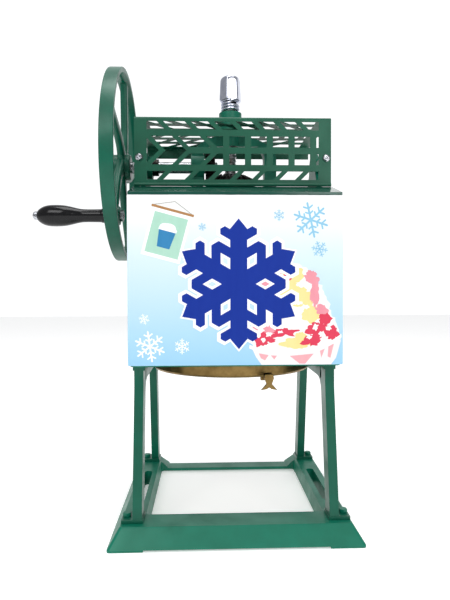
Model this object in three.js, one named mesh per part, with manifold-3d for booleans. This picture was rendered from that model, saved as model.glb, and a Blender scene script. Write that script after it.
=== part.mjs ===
/**
 * Hand-cranked block-ice shaver, in millimetres, +Z up.
 *
 * The operator stands at -Y, the hand wheel is at -X, and ice is loaded from +Y.
 * Castings: a flared base, two A-shaped leg frames, a lower deck that carries the
 * blade disc, four pillars and a hood. On the hood a bridge carries a bevel gear
 * pair: the hand wheel turns the crown gear, which turns the keyed feed spindle
 * with its spiked pressure plate.
 *
 * Everything is drawn about the machine's own centre plane and then moved along X,
 * so that the origin lies below the middle of the whole object, on the floor.
 */
import * as THREE from 'three';
import { mergeVertices } from 'three/addons/utils/BufferGeometryUtils.js';
import Module from 'manifold-3d';

// ---------------------------------------------------------------- dimensions

const clearance = 0.3; // between pieces that touch or run in each other

const base = {
  width: 360, // skirt at the floor, along X
  depth: 360, // skirt at the floor, along Y
  height: 27.5,
  flareX: 15, // how far the skirt spreads at each side
  flareY: 17.5,
  lip: 3, // upright edge at the foot of the skirt
  frontBeam: 42, // top face of the front beam, along Y
  sideBeam: 33, // top face of a side beam, along X
  draft: 3, // inner walls lean in by this much at the floor
  railHeight: 8, // low bar across the back
  railWidth: 29,
  railInset: 11, // from the back of the skirt to the bar
  gusset: 15, // slope from a side beam down to the bar
  footLength: 50, // raised pads under the corners
  footRelief: 2.7,
  slotWidth: 13, // long slot through each side beam
  slotLength: 143,
};

const leg = {
  thickness: 13.6, // along X
  section: 28, // along Y
  topHeight: 250, // the deck rests on this
  beamDepth: 27, // top beam of the frame
  splay: 32, // a foot stands this much further out than the top
  outset: 17, // base top edge to the leg's outer face
  footSetback: 10.5, // base top edge to the foot's front face
  padWidth: 31,
  padThickness: 5,
  flangeWidth: 18,
  flangeThickness: 9.7,
};

const deck = {
  overhang: 2, // beyond the legs, at each side
  depth: 303,
  thickness: 12,
  corner: 8,
};

const disc = {
  radius: 130,
  spigot: 117.7, // fills the hole in the deck
  drop: 20, // hangs this far below the deck
  recess: 8, // hollow in the underside
  rim: 18,
  screwRadius: 2.5,
  screwHead: 4,
};

const blade = {
  offset: 49, // rod axis, right of centre
  length: 74,
  thickness: 2.5,
  height: 27,
  lean: 14, // degrees from upright
  proud: 0.6, // cutting edge above the disc
  rodRadius: 5,
  innerEnd: -14, // rod and lugs, along Y
  lug: 8,
};

const chamber = {
  height: 230, // deck top to the hood's lower edge
  pillarRadius: 11,
  pillarFlange: 19,
  pillarInset: 26, // from the deck's edges
  panelThickness: 3,
  panelOverhang: 2, // beyond the deck, at each side
  panelDrop: 10, // panel covers this much of the deck's edge
};

const hood = {
  overhang: 1, // beyond the deck, at each side
  depth: 310,
  rise: 23, // lower edge to the flat top
  edge: 4, // upright lower edge
  wall: 6.5,
  slope: 63, // length of each sloping part, along Y
  bossDrop: 14,
};

const cover = {
  inset: 1.5, // inside the hood's edge, at each side
  depth: 184,
  height: 104.7,
  sheet: 1.5,
  bend: 4,
  hem: 2.6, // radius of the rolled front edge
  rearFlange: 20,
  windowMargin: 19, // plain sheet left at each end
  rib: 9.6, // width of the lattice ribs
  bossHole: 24,
};

const shaft = {
  height: 48, // axis above the hood's flat top
  radius: 9.35,
  bushWall: 3.6,
};

const gears = {
  crownTeeth: 24,
  pinionTeeth: 14,
  outerRadius: 42, // crown gear, over its toothed face
  faceWidth: 16,
  toothShare: 0.43, // of the pitch
  addendum: 0.72, // in modules
  dedendum: 1.0,
};

const spindle = {
  radius: 10,
  studRadius: 7,
  keyWidth: 4,
  keyDepth: 2.2,
  travel: 150,
};

const plate = {
  radius: 58,
  thickness: 8,
  hubRadius: 18,
  hubHeight: 22,
  bladeGap: 34, // plate underside above the deck at the lowest position
  spikes: 6,
  spikeLength: 22,
};

const bridge = {
  depth: 26,
  leftOuter: 66,
  rightOuter: 76,
  column: 20,
  hubRadius: 19,
  hubTop: 138.6, // above the hood's flat top
  archTop: 99,
  archUnder: 81,
  footDepth: 72,
  footThickness: 8,
  bearingRadius: 22,
};

const cheek = {
  thickness: 8,
  inset: 3.5, // inside the end of the cover
  halfDepth: 46,
  bearingRadius: 24,
  lugHalf: 7,
  screwDrop: 4.4, // screw axis below the shaft axis
};

const wheel = {
  radius: 155.5,
  rimWidth: 20.4,
  rimThickness: 11,
  hubRadius: 21,
  hubWidth: 30,
  spokes: 5,
  spokeWidth: 17,
  spokeThickness: 12,
  firstSpoke: 27, // degrees above the front
  spokeSweep: 34, // degrees from hub end to rim end
  standoff: 17, // cover end to the hub's inner face
  capRadius: 23,
  capLength: 7,
};

const handle = {
  reach: 131, // from the shaft axis
  bossRadius: 14,
  studRadius: 5,
  gripLength: 102,
  acornLength: 7.5,
  acornRadius: 6.5,
};

const spring = {
  play: 1.5, // between the spindle and the coil
  wire: 2.25,
  turns: 2.75,
  height: 17.6,
};

const knob = {
  bottomCorners: 38.5, // across the corners of its hexagon
  topCorners: 34.5,
  turn: 10, // one flat faces the front, turned this far to the right
  height: 41,
  dome: 9,
  seat: 2.2, // washer between spring and knob
};

const bolt = {
  radius: 3.7,
  acrossFlats: 11,
  head: 5,
};

// ------------------------------------------------- heights and places derived

const legFoot = base.height + clearance;
const deckBottom = leg.topHeight + clearance;
const deckTop = deckBottom + deck.thickness;
const hoodBottom = deckTop + chamber.height;
const hoodTop = hoodBottom + hood.rise;
const shaftZ = hoodTop + shaft.height;
const hubTop = hoodTop + bridge.hubTop;
const springTop = hubTop + clearance + spring.height;
const knobBottom = springTop + clearance + knob.seat + clearance;
const plateBottom = deckTop + plate.bladeGap;
const coverBottom = hoodTop + clearance;
const coverTop = coverBottom + cover.height;
const topX = base.width / 2 - base.flareX;
const topY = base.depth / 2 - base.flareY;
const legOuter = topX - leg.outset;
const legInner = legOuter - leg.thickness;
const footY = topY - leg.footSetback;
const footBoltX = legOuter + (leg.padWidth - leg.thickness) / 2 + 0.5;
const footBoltY = footY - leg.section / 2 - 2;
const deckBoltX = legOuter - leg.flangeWidth / 2 + 1.5;
const deckBoltY = footY - leg.splay - leg.section - 4;
const deckWidth = 2 * (legOuter + deck.overhang);
const hoodWidth = deckWidth + 2 * hood.overhang;
const panelWidth = deckWidth + 2 * chamber.panelOverhang;
const coverWidth = hoodWidth - 2 * cover.inset;
const springRadius = spindle.radius + spring.play + spring.wire; // to the wire's middle
const pillarX = deckWidth / 2 - chamber.pillarInset;
const pillarY = deck.depth / 2 - chamber.pillarInset;
const hubInner = coverWidth / 2 + wheel.standoff; // distances along -X
const hubOuter = hubInner + wheel.hubWidth;
const rimInner = hubInner + 4;
const rimOuter = rimInner + wheel.rimWidth;
const gripStart = rimOuter + clearance;
const gripEnd = gripStart + handle.gripLength;
const acornTip = gripEnd + clearance + handle.acornLength;
const handleAngle = wheel.firstSpoke - 360 / wheel.spokes;
const centreShift = (acornTip - base.width / 2) / 2;

// -------------------------------------------------------------------- colours

const finish = (color, roughness, metalness) =>
  new THREE.MeshStandardMaterial({ color, roughness, metalness });
const enamel = finish(0x147a56, 0.32, 0.0);
const steel = finish(0x9a9ca0, 0.35, 1.0);
const darkSteel = finish(0x2c2d30, 0.45, 0.9);
const chrome = finish(0xd8dade, 0.12, 1.0);
const brass = finish(0x9c7836, 0.4, 1.0);
const printed = finish(0xcfe9f8, 0.5, 0.0);
const blackLacquer = finish(0x0c0c0d, 0.12, 0.0);

// -------------------------------------------------------------- solid helpers

const wasm = await Module();
wasm.setup();

const X = new THREE.Vector3(1, 0, 0);
const Y = new THREE.Vector3(0, 1, 0);
const Z = new THREE.Vector3(0, 0, 1);
const minusY = Y.clone().negate();
const minusZ = Z.clone().negate();
const radians = THREE.MathUtils.degToRad;

/** A closed geometry as a solid that can be joined and cut. */
function solid(geometry) {
  const bare = geometry.index ? geometry.toNonIndexed() : geometry.clone();
  bare.deleteAttribute('normal');
  bare.deleteAttribute('uv');
  const merged = mergeVertices(bare, 1e-4);
  const corners = merged.index.array;
  const kept = [];
  for (let i = 0; i < corners.length; i += 3) {
    const [a, b, c] = corners.subarray(i, i + 3);
    if (a !== b && b !== c && a !== c) kept.push(a, b, c);
  }
  const vertProperties = new Float32Array(merged.attributes.position.array);
  const triVerts = new Uint32Array(kept);
  return new wasm.Manifold(new wasm.Mesh({ numProp: 3, vertProperties, triVerts }));
}

const join = (pieces) => pieces.reduce((whole, piece) => whole.add(piece));
const cut = (whole, pieces) => pieces.reduce((rest, piece) => rest.subtract(piece), whole);

/** A box between two limits on each axis, given in either order. */
function box([x0, x1], [y0, y1], [z0, z1]) {
  const size = [Math.abs(x1 - x0), Math.abs(y1 - y0), Math.abs(z1 - z0)];
  const geometry = new THREE.BoxGeometry(...size);
  geometry.translate((x0 + x1) / 2, (y0 + y1) / 2, (z0 + z1) / 2);
  return solid(geometry);
}

/** An outline pushed along an axis. Its plane is (Y, Z), (X, Z) or (X, Y). */
function prism(outline, axis, from, to, curveSegments = 6) {
  const low = Math.min(from, to);
  const high = Math.max(from, to);
  const options = { depth: high - low, bevelEnabled: false, curveSegments };
  const geometry = new THREE.ExtrudeGeometry(outline, options);
  geometry.translate(0, 0, axis === 'y' ? -high : low);
  const turn = new THREE.Matrix4();
  if (axis === 'x') turn.makeBasis(Y, Z, X);
  if (axis === 'y') turn.makeBasis(X, Z, minusY);
  geometry.applyMatrix4(turn);
  return solid(geometry);
}

/** A profile of [radius, height] points turned about an axis through `centre`. */
function turned(profile, axis, segments = 24, centre = [0, 0, 0]) {
  const points = profile.map(([r, h]) => new THREE.Vector2(r, h));
  const geometry = new THREE.LatheGeometry(points, segments);
  const turn = new THREE.Matrix4();
  if (axis === 'x') turn.makeBasis(Y, X, minusZ);
  if (axis === 'z') turn.makeBasis(X, Z, minusY);
  geometry.applyMatrix4(turn);
  geometry.translate(...centre);
  return solid(geometry);
}

/** A round bar between two places on its axis. */
function bar(axis, radius, from, to, centre = [0, 0, 0], segments = 20) {
  const low = Math.min(from, to);
  const high = Math.max(from, to);
  return turned([[0, low], [radius, low], [radius, high], [0, high]], axis, segments, centre);
}

/** A round tube between two places on its axis. */
function tube(axis, inner, outer, low, high, segments = 20, centre = [0, 0, 0]) {
  const profile = [[inner, low], [outer, low], [outer, high], [inner, high], [inner, low]];
  return turned(profile, axis, segments, centre);
}

/** Rings of points, each counter-clockwise seen from the last one, skinned and capped. */
function loft(rings) {
  const count = rings[0].length;
  const vertices = rings.flat().flatMap((p) => [p.x, p.y, p.z]);
  const faces = [];
  for (let ring = 0; ring + 1 < rings.length; ring++) {
    for (let i = 0; i < count; i++) {
      const a = ring * count + i;
      const b = ring * count + ((i + 1) % count);
      faces.push(a, b, b + count, a, b + count, a + count);
    }
  }
  const [first, last] = [rings[0], rings[rings.length - 1]];
  const fan = (ring, offset, flip) => {
    const normal = new THREE.Vector3().crossVectors(
      ring[1].clone().sub(ring[0]), ring[2].clone().sub(ring[0]));
    const drop = Math.abs(normal.x) > Math.abs(normal.z) ? 'x' : 'z';
    const flat = ring.map((p) => (drop === 'x' ? new THREE.Vector2(p.y, p.z)
      : new THREE.Vector2(p.x, p.y)));
    for (const [a, b, c] of THREE.ShapeUtils.triangulateShape(flat, [])) {
      const face = [a + offset, b + offset, c + offset];
      faces.push(...(flip ? face.reverse() : face));
    }
  };
  fan(first, 0, true);
  fan(last, (rings.length - 1) * count, false);
  const geometry = new THREE.BufferGeometry();
  geometry.setAttribute('position', new THREE.Float32BufferAttribute(vertices, 3));
  geometry.setIndex(faces);
  return solid(geometry);
}

/** A closed outline from points, each [across, up]. */
function outlineOf(points) {
  return new THREE.Shape(points.map(([across, up]) => new THREE.Vector2(across, up)));
}

/** A rectangle with round corners about the middle. */
function roundedRectangle(width, depth, radius) {
  const [w, d] = [width / 2, depth / 2];
  const shape = new THREE.Shape();
  shape.absarc(w - radius, d - radius, radius, 0, Math.PI / 2);
  shape.absarc(radius - w, d - radius, radius, Math.PI / 2, Math.PI);
  shape.absarc(radius - w, radius - d, radius, Math.PI, Math.PI * 1.5);
  shape.absarc(w - radius, radius - d, radius, Math.PI * 1.5, Math.PI * 2);
  return shape;
}

/** Points of a rounded rectangle at one height, as a ring for a loft. */
function rectangleRing(width, depth, radius, z) {
  const outline = roundedRectangle(width, depth, radius).getPoints(3);
  return outline.slice(0, -1).map((p) => new THREE.Vector3(p.x, p.y, z));
}

/** A regular polygon outline given the distance across its flats. */
function polygon(sides, acrossFlats) {
  const radius = acrossFlats / 2 / Math.cos(Math.PI / sides);
  const points = [];
  for (let i = 0; i < sides; i++) {
    const angle = ((i + 0.5) * 2 * Math.PI) / sides;
    points.push([radius * Math.cos(angle), radius * Math.sin(angle)]);
  }
  return outlineOf(points);
}

/** A solid as a named, coloured mesh. */
function piece(name, body, material) {
  const mesh = body.getMesh();
  const geometry = new THREE.BufferGeometry();
  geometry.setAttribute('position', new THREE.BufferAttribute(mesh.vertProperties, 3));
  geometry.setIndex(new THREE.BufferAttribute(mesh.triVerts, 1));
  geometry.computeVertexNormals();
  const result = new THREE.Mesh(geometry, material);
  result.name = name;
  return result;
}

const sides = [['left', -1], ['right', 1]];
const ends = [['front', -1], ['rear', 1]];

/** Calls make(name, sideSign, endSign) at the four corners. */
function atCorners(prefix, make) {
  const made = [];
  for (const [end, endSign] of ends) {
    for (const [side, sideSign] of sides) {
      made.push(make(`${prefix}_${end}_${side}`, sideSign, endSign));
    }
  }
  return made;
}

/** A hex-headed bolt standing on z = 0, its shank pointing down. */
function hexBolt(shankLength, radius = bolt.radius) {
  const head = prism(polygon(6, bolt.acrossFlats), 'z', 0, bolt.head);
  return head.add(bar('z', radius, -shankLength, 0.5, [0, 0, 0], 12));
}

// --------------------------------------------------------------- base and legs

function makeBase() {
  const top = [base.width - 2 * base.flareX, base.depth - 2 * base.flareY];
  const body = loft([
    rectangleRing(base.width, base.depth, 5, 0),
    rectangleRing(base.width, base.depth, 5, base.lip),
    rectangleRing(top[0] + 1.6, top[1] + 1.6, 5, base.height - 1.5),
    rectangleRing(top[0] - 1.6, top[1] - 1.6, 4, base.height),
  ]);

  const innerX = topX - base.sideBeam;
  const innerFront = -topY + base.frontBeam;
  const railBack = base.depth / 2 - base.railInset;
  const railFront = railBack - base.railWidth;
  const wellDepth = railFront - innerFront;
  const wellMiddle = (railFront + innerFront) / 2;
  const well = loft([
    rectangleRing(2 * (innerX - base.draft), wellDepth - 2, 6, -1),
    rectangleRing(2 * innerX, wellDepth, 6, base.height + 1),
  ].map((ring) => ring.map((p) => p.clone().add(new THREE.Vector3(0, wellMiddle, 0)))));

  // The back is open above the low bar, and slopes up to the side beams.
  const aboveBar = outlineOf([
    [-innerX + base.gusset, base.railHeight],
    [innerX - base.gusset, base.railHeight],
    [innerX + 1, base.height - 4],
    [innerX + 1, base.height + 1],
    [-innerX - 1, base.height + 1],
    [-innerX - 1, base.height - 4],
  ]);
  const backCut = prism(aboveBar, 'y', railFront - 12, base.depth);
  const barX = innerX - base.gusset;
  const behindBar = box([-barX, barX], [railBack, base.depth], [-1, base.height]);

  const reliefX = base.width / 2 - base.footLength;
  const reliefY = base.depth / 2 - base.footLength;
  const relief = [-1, base.footRelief];
  const underFront = box([-reliefX, reliefX], [-base.depth, base.depth], relief);
  const underSides = box([-base.width, base.width], [-reliefY, reliefY], relief);

  const slotX = topX - base.sideBeam / 2 - 1.5;
  const cuts = [well, backCut, behindBar, underFront, underSides];
  for (const [, sign] of sides) {
    const slot = roundedRectangle(base.slotWidth, base.slotLength, base.slotWidth / 2 - 0.1);
    cuts.push(prism(slot, 'z', -1, base.height + 1, 3).translate([sign * slotX, -3.5, 0]));
    for (const [, end] of ends) {
      const centre = [sign * footBoltX, end * footBoltY, 0];
      cuts.push(bar('z', bolt.radius + clearance, -1, base.height + 1, centre, 12));
    }
  }
  return [piece('base_frame', cut(body, cuts), enamel)];
}

/** One A-shaped leg frame, drawn on the side that `sign` says. */
function makeLegFrame(name, sign) {
  const topHalf = footY - leg.splay;
  const under = leg.topHeight - leg.beamDepth;
  const inner = topHalf - leg.section + 1;
  const shape = new THREE.Shape();
  shape.moveTo(-footY, legFoot);
  shape.lineTo(-footY + leg.section, legFoot);
  shape.lineTo(-inner, under - 26);
  shape.quadraticCurveTo(-inner + 2, under, -inner + 30, under);
  shape.lineTo(inner - 30, under);
  shape.quadraticCurveTo(inner - 2, under, inner, under - 26);
  shape.lineTo(footY - leg.section, legFoot);
  shape.lineTo(footY, legFoot);
  shape.lineTo(topHalf, under - 6);
  shape.lineTo(topHalf, leg.topHeight);
  shape.lineTo(-topHalf, leg.topHeight);
  shape.lineTo(-topHalf, under - 6);
  const frame = prism(shape, 'x', sign * legInner, sign * legOuter);

  const flangeInner = legOuter + 2 - leg.flangeWidth;
  const flange = box(
    [sign * flangeInner, sign * (legOuter + 2)],
    [-topHalf, topHalf],
    [leg.topHeight - leg.flangeThickness, leg.topHeight],
  );
  const padOuter = legInner - 1.5 + leg.padWidth;
  const pads = ends.map(([, end]) => box(
    [sign * (legInner - 1.5), sign * padOuter],
    [end * footY, end * (footY - leg.section - 4)],
    [legFoot, legFoot + leg.padThickness],
  ));
  const holes = ends.flatMap(([, end]) => [
    bar('z', bolt.radius + clearance, legFoot - 1, legFoot + leg.padThickness + 1,
      [sign * footBoltX, end * footBoltY, 0], 12),
    bar('z', bolt.radius + clearance, leg.topHeight - leg.beamDepth - 1, leg.topHeight + 1,
      [sign * deckBoltX, end * deckBoltY, 0], 12),
  ]);
  const pocketRadius = bolt.acrossFlats * 0.6 + 1;
  const pockets = ends.map(([, end]) => bar('z', pocketRadius, under - 1,
    leg.topHeight - leg.flangeThickness - 1, [sign * deckBoltX, end * deckBoltY, 0], 12));
  return piece(name, cut(join([frame, flange, ...pads]), [...holes, ...pockets]), enamel);
}

function makeLegs() {
  const frames = sides.map(([side, sign]) => makeLegFrame(`${side}_leg_frame`, sign));
  const footBolts = atCorners('foot_bolt', (name, side, end) => {
    const mesh = piece(name, hexBolt(legFoot + leg.padThickness - 5), enamel);
    mesh.position.set(side * footBoltX, end * footBoltY, legFoot + leg.padThickness + clearance);
    return mesh;
  });
  const deckBolts = atCorners('deck_bolt', (name, side, end) => {
    const mesh = piece(name, hexBolt(leg.flangeThickness + deck.thickness - 2), enamel);
    const seat = leg.topHeight - leg.flangeThickness - 1;
    mesh.position.set(side * deckBoltX, end * deckBoltY, seat - clearance);
    mesh.rotation.x = Math.PI;
    return mesh;
  });
  return [...frames, ...footBolts, ...deckBolts];
}

// -------------------------------------------------------- deck, disc and blade

const discSides = 40; // the disc and the deck's hole share their facets

/** The three places where screws hold the blade disc up to the deck. */
function discScrewPlaces() {
  const reach = disc.radius - disc.screwHead - 2.5;
  return [90, 210, 330].map((degrees) => {
    const angle = radians(degrees);
    return [reach * Math.cos(angle), reach * Math.sin(angle), 0];
  });
}

function makeDeck() {
  const outline = roundedRectangle(deckWidth, deck.depth, deck.corner);
  const hole = bar('z', disc.spigot + clearance, deckBottom - 1, deckTop + 1, [0, 0, 0], discSides);
  const screwHoles = discScrewPlaces().map((place) =>
    bar('z', disc.screwRadius + clearance, deckBottom - 1, deckTop + 1, place, 10));
  const boltHoles = ends.flatMap(([, end]) => sides.map(([, side]) =>
    bar('z', bolt.radius + clearance, deckBottom - 1, deckTop + 1,
      [side * deckBoltX, end * deckBoltY, 0], 12)));
  const body = cut(prism(outline, 'z', deckBottom, deckTop, 4),
    [hole, ...screwHoles, ...boltHoles]);
  return [piece('lower_deck', body, enamel)];
}

function makeDisc() {
  const under = deckBottom - clearance;
  const bottom = under - disc.drop;
  const ceiling = bottom + disc.recess;
  const surface = deckTop - clearance;
  const rimInner = disc.radius - disc.rim;
  const body = turned([
    [0, ceiling],
    [rimInner - 3, ceiling],
    [rimInner, bottom],
    [disc.radius - 2, bottom],
    [disc.radius, bottom + 3],
    [disc.radius, under],
    [disc.spigot, under],
    [disc.spigot, surface],
    [0, surface],
  ], 'z', discSides);

  // Two lugs carry the blade's rod, and the rod leaves through a notch in the rim.
  const rodCentre = [blade.offset, 0, bottom];
  const lugDepths = [
    [blade.innerEnd - blade.lug, blade.innerEnd],
    [blade.innerEnd - 2 * blade.lug - blade.length, blade.innerEnd - blade.lug - blade.length],
  ];
  const lugs = lugDepths.map(([from, to]) => box(
    [blade.offset - 9, blade.offset + 9], [from - 2, to + 2], [bottom - 8, ceiling + 1],
  ));
  const rodHole = bar('y', blade.rodRadius + clearance, -disc.radius - 5, 0, rodCentre, 16);
  const notch = box(
    [blade.offset - blade.rodRadius - 1, blade.offset + blade.rodRadius + 1],
    [-disc.radius - 5, blade.innerEnd - 2 * blade.lug - blade.length - 2],
    [bottom - 10, bottom + blade.rodRadius + 1],
  );
  const slotFrom = blade.innerEnd - blade.lug - blade.length + 2 - clearance;
  const slotTo = blade.innerEnd - blade.lug - 2 + clearance;
  const slot = box([blade.offset - 20, blade.offset + 13], [slotFrom, slotTo],
    [bottom - 20, deckTop + 5]);
  const screwCuts = discScrewPlaces().flatMap((place) => [
    bar('z', disc.screwRadius + clearance, bottom - 1, deckTop, place, 10),
    bar('z', disc.screwHead + clearance, bottom - 1, bottom + 4, place, 14),
  ]);
  const whole = cut(join([body, ...lugs]), [rodHole, notch, slot, ...screwCuts]);

  const screws = discScrewPlaces().map((place, i) => {
    const head = bar('z', disc.screwHead, 0, 3, [0, 0, 0], 14);
    const shank = bar('z', disc.screwRadius, 2, disc.drop + deck.thickness - 6, [0, 0, 0], 10);
    const mesh = piece(`disc_screw_${i + 1}`, head.add(shank), steel);
    mesh.position.set(place[0], place[1], bottom + 0.7);
    return mesh;
  });
  return [piece('blade_disc', whole, brass), ...screws];
}

/** The blade and all that turns with it on its rod, as a group on the rod's axis. */
function makeBlade() {
  const group = new THREE.Group();
  const bottom = deckBottom - clearance - disc.drop;
  group.position.set(blade.offset, 0, bottom);
  const from = blade.innerEnd - blade.lug - blade.length + 3;
  const to = blade.innerEnd - blade.lug - 3;
  const leverFace = -disc.radius - 3;

  const rod = bar('y', blade.rodRadius, leverFace + clearance, blade.innerEnd, [0, 0, 0], 16);
  const block = prism(outlineOf([[-7, -6], [7, -6], [7, 8], [1, 17], [-3, 17], [-7, 8]]),
    'y', from, to);
  const slope = Math.tan(radians(blade.lean));
  const edgeHeight = deckTop - bottom + blade.proud;
  const heel = edgeHeight - blade.height;
  const faceX = (height) => (edgeHeight - height) * slope - 9;
  const strip = (left, right, low, high) => outlineOf([
    [faceX(low) + left, low],
    [faceX(low) + right, low],
    [faceX(high) + right, high],
    [faceX(high) + left, high],
  ]);
  const thick = blade.thickness;
  const seat = prism(strip(-40, thick + clearance, heel - 1, edgeHeight), 'y', from - 1, to + 1);
  const holder = join([cut(block, [seat]), rod]);
  const bevel = prism(outlineOf([
    [faceX(edgeHeight) + 0.4, edgeHeight],
    [faceX(edgeHeight) + thick + 2, edgeHeight],
    [faceX(edgeHeight) + thick + 2, edgeHeight - 4],
  ]), 'y', from - 1, to + 1);
  const plateBlank = prism(strip(0, thick, heel + 1, edgeHeight), 'y', from, to);
  const bladePlate = cut(plateBlank, [bevel]);
  const clamp = prism(strip(-3.2, -clearance, heel + 3, heel + 13), 'y', from + 4, to - 4);

  const lever = outlineOf([
    [-6, 6], [-7, 0], [-4, -8], [-12, -17], [-3.5, -15.5],
    [0, -13], [3.5, -15.5], [12, -17], [4, -8], [7, 0], [6, 6],
  ]);
  const leverBody = prism(lever, 'y', leverFace, leverFace - 5);
  group.add(
    piece('blade_holder', holder, darkSteel),
    piece('blade', bladePlate, steel),
    piece('blade_clamp', clamp, steel),
    piece('adjusting_lever', leverBody, brass),
  );
  return [group];
}

// ------------------------------------------------------------- pillars and hood

function makeChamber() {
  const low = deckTop + clearance;
  const high = hoodBottom - clearance;
  const bossEnd = hoodBottom + hood.edge - hood.bossDrop - clearance;
  const { pillarRadius: r, pillarFlange: f } = chamber;
  const pillars = atCorners('pillar', (name, side, end) => {
    const column = turned([
      [0, low],
      [f, low],
      [f, low + 6],
      [r + 2, low + 10],
      [r, low + 22],
      [r, bossEnd - 22],
      [r + 2, bossEnd - 10],
      [f - 3, bossEnd - 6],
      [f - 3, bossEnd],
      [0, bossEnd],
    ], 'z', 14);
    const mesh = piece(name, column, enamel);
    mesh.position.set(side * pillarX, end * pillarY, 0);
    return mesh;
  });
  const panelFace = -deck.depth / 2 - clearance;
  const panelOutline = roundedRectangle(panelWidth,
    high - deckTop + chamber.panelDrop, 2);
  const middle = (high + deckTop - chamber.panelDrop) / 2;
  const panelBody = prism(panelOutline, 'y', panelFace - chamber.panelThickness, panelFace, 2);
  const panel = piece('sign_panel', panelBody, printed);
  panel.position.z = middle;
  return [...pillars, panel];
}

const bushOuter = spindle.radius + 6;

function makeHood() {
  const half = hood.depth / 2;
  const flat = half - hood.slope;
  const { wall } = hood;
  const outer = prism(outlineOf([
    [-half, hoodBottom],
    [half, hoodBottom],
    [half, hoodBottom + hood.edge],
    [flat + 2, hoodTop - 0.5],
    [flat - 2, hoodTop],
    [-flat + 2, hoodTop],
    [-flat - 2, hoodTop - 0.5],
    [-half, hoodBottom + hood.edge],
  ]), 'x', -hoodWidth / 2, hoodWidth / 2);
  const inner = prism(outlineOf([
    [-half + wall, hoodBottom - 1],
    [half - wall, hoodBottom - 1],
    [half - wall, hoodBottom + hood.edge - wall / 2],
    [flat, hoodTop - wall],
    [-flat, hoodTop - wall],
    [-half + wall, hoodBottom + hood.edge - wall / 2],
  ]), 'x', -hoodWidth / 2 + wall, hoodWidth / 2 - wall);
  const bossFrom = hoodBottom + hood.edge - hood.bossDrop;
  const envelope = prism(outlineOf([
    [-half, bossFrom - 1],
    [half, bossFrom - 1],
    [half, hoodBottom + hood.edge - 1],
    [flat, hoodTop - 2],
    [-flat, hoodTop - 2],
    [-half, hoodBottom + hood.edge - 1],
  ]), 'x', -hoodWidth / 2, hoodWidth / 2);
  const bosses = ends.flatMap(([, end]) => sides.map(([, side]) => bar('z',
    chamber.pillarFlange - 3, bossFrom, hoodTop,
    [side * pillarX, end * pillarY, 0], 16).intersect(envelope)));
  const collar = bar('z', bushOuter + 8, hoodTop - wall - 6, hoodTop - 1, [0, 0, 0], 24);
  const bore = bar('z', bushOuter + clearance, hoodBottom, hoodTop + 1, [0, 0, 0], 24);
  const boltHoles = bridgeBoltPlaces().map((place) =>
    bar('z', 3 + clearance, hoodBottom, hoodTop + 1, place, 10));
  const body = cut(join([cut(outer, [inner]), ...bosses, collar]), [bore, ...boltHoles]);
  const bush = tube('z', spindle.radius + 0.4, bushOuter, hoodTop - wall - 6, hoodTop - 0.1, 24);
  return [piece('hood', body, enamel), piece('spindle_bush', bush, brass)];
}

// ------------------------------------------------------------ cheeks and cover

const bushRadius = shaft.radius + clearance + shaft.bushWall;
const cheekOuter = coverWidth / 2 - cheek.inset;
const cheekInner = cheekOuter - cheek.thickness;
const coverFront = -cover.depth / 2;
const screwZ = shaftZ - cheek.screwDrop;

/** An end cheek: an upright that holds the cover, and the shaft if it has a bearing. */
function makeCheek(name, sign, hasBearing) {
  const foot = hoodTop + clearance;
  const r = cheek.bearingRadius;
  const shape = new THREE.Shape();
  shape.moveTo(-cheek.halfDepth, foot);
  shape.lineTo(cheek.halfDepth, foot);
  shape.lineTo(cheek.halfDepth, foot + 8);
  shape.lineTo(r, shaftZ - 6);
  shape.absarc(0, shaftZ, r, 0, Math.PI);
  shape.lineTo(-r, shaftZ - 6);
  shape.lineTo(-cheek.halfDepth, foot + 8);
  const web = prism(shape, 'x', sign * cheekInner, sign * cheekOuter, 12);
  const front = coverFront + cover.sheet + clearance;
  const arm = box([sign * cheekInner, sign * cheekOuter], [front, -r + 4],
    [screwZ - cheek.lugHalf, screwZ + cheek.lugHalf]);
  const flange = box([sign * (cheekInner - 12), sign * cheekOuter],
    [-cheek.halfDepth, cheek.halfDepth], [foot, foot + 6]);
  const solids = [web, arm, flange];
  const screwX = sign * (cheekInner + cheekOuter) / 2;
  const cuts = [bar('y', 2.4 + clearance, front - 1, front + 16, [screwX, 0, screwZ], 10)];
  if (hasBearing) {
    const bossReach = sign * (cheekInner - 8);
    solids.push(bar('x', r - 5, sign * cheekOuter, bossReach, [0, 0, shaftZ], 20));
    cuts.push(bar('x', bushRadius + clearance, -coverWidth, 0, [0, 0, shaftZ], 24));
  }
  return piece(name, cut(join(solids), cuts), enamel);
}

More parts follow.
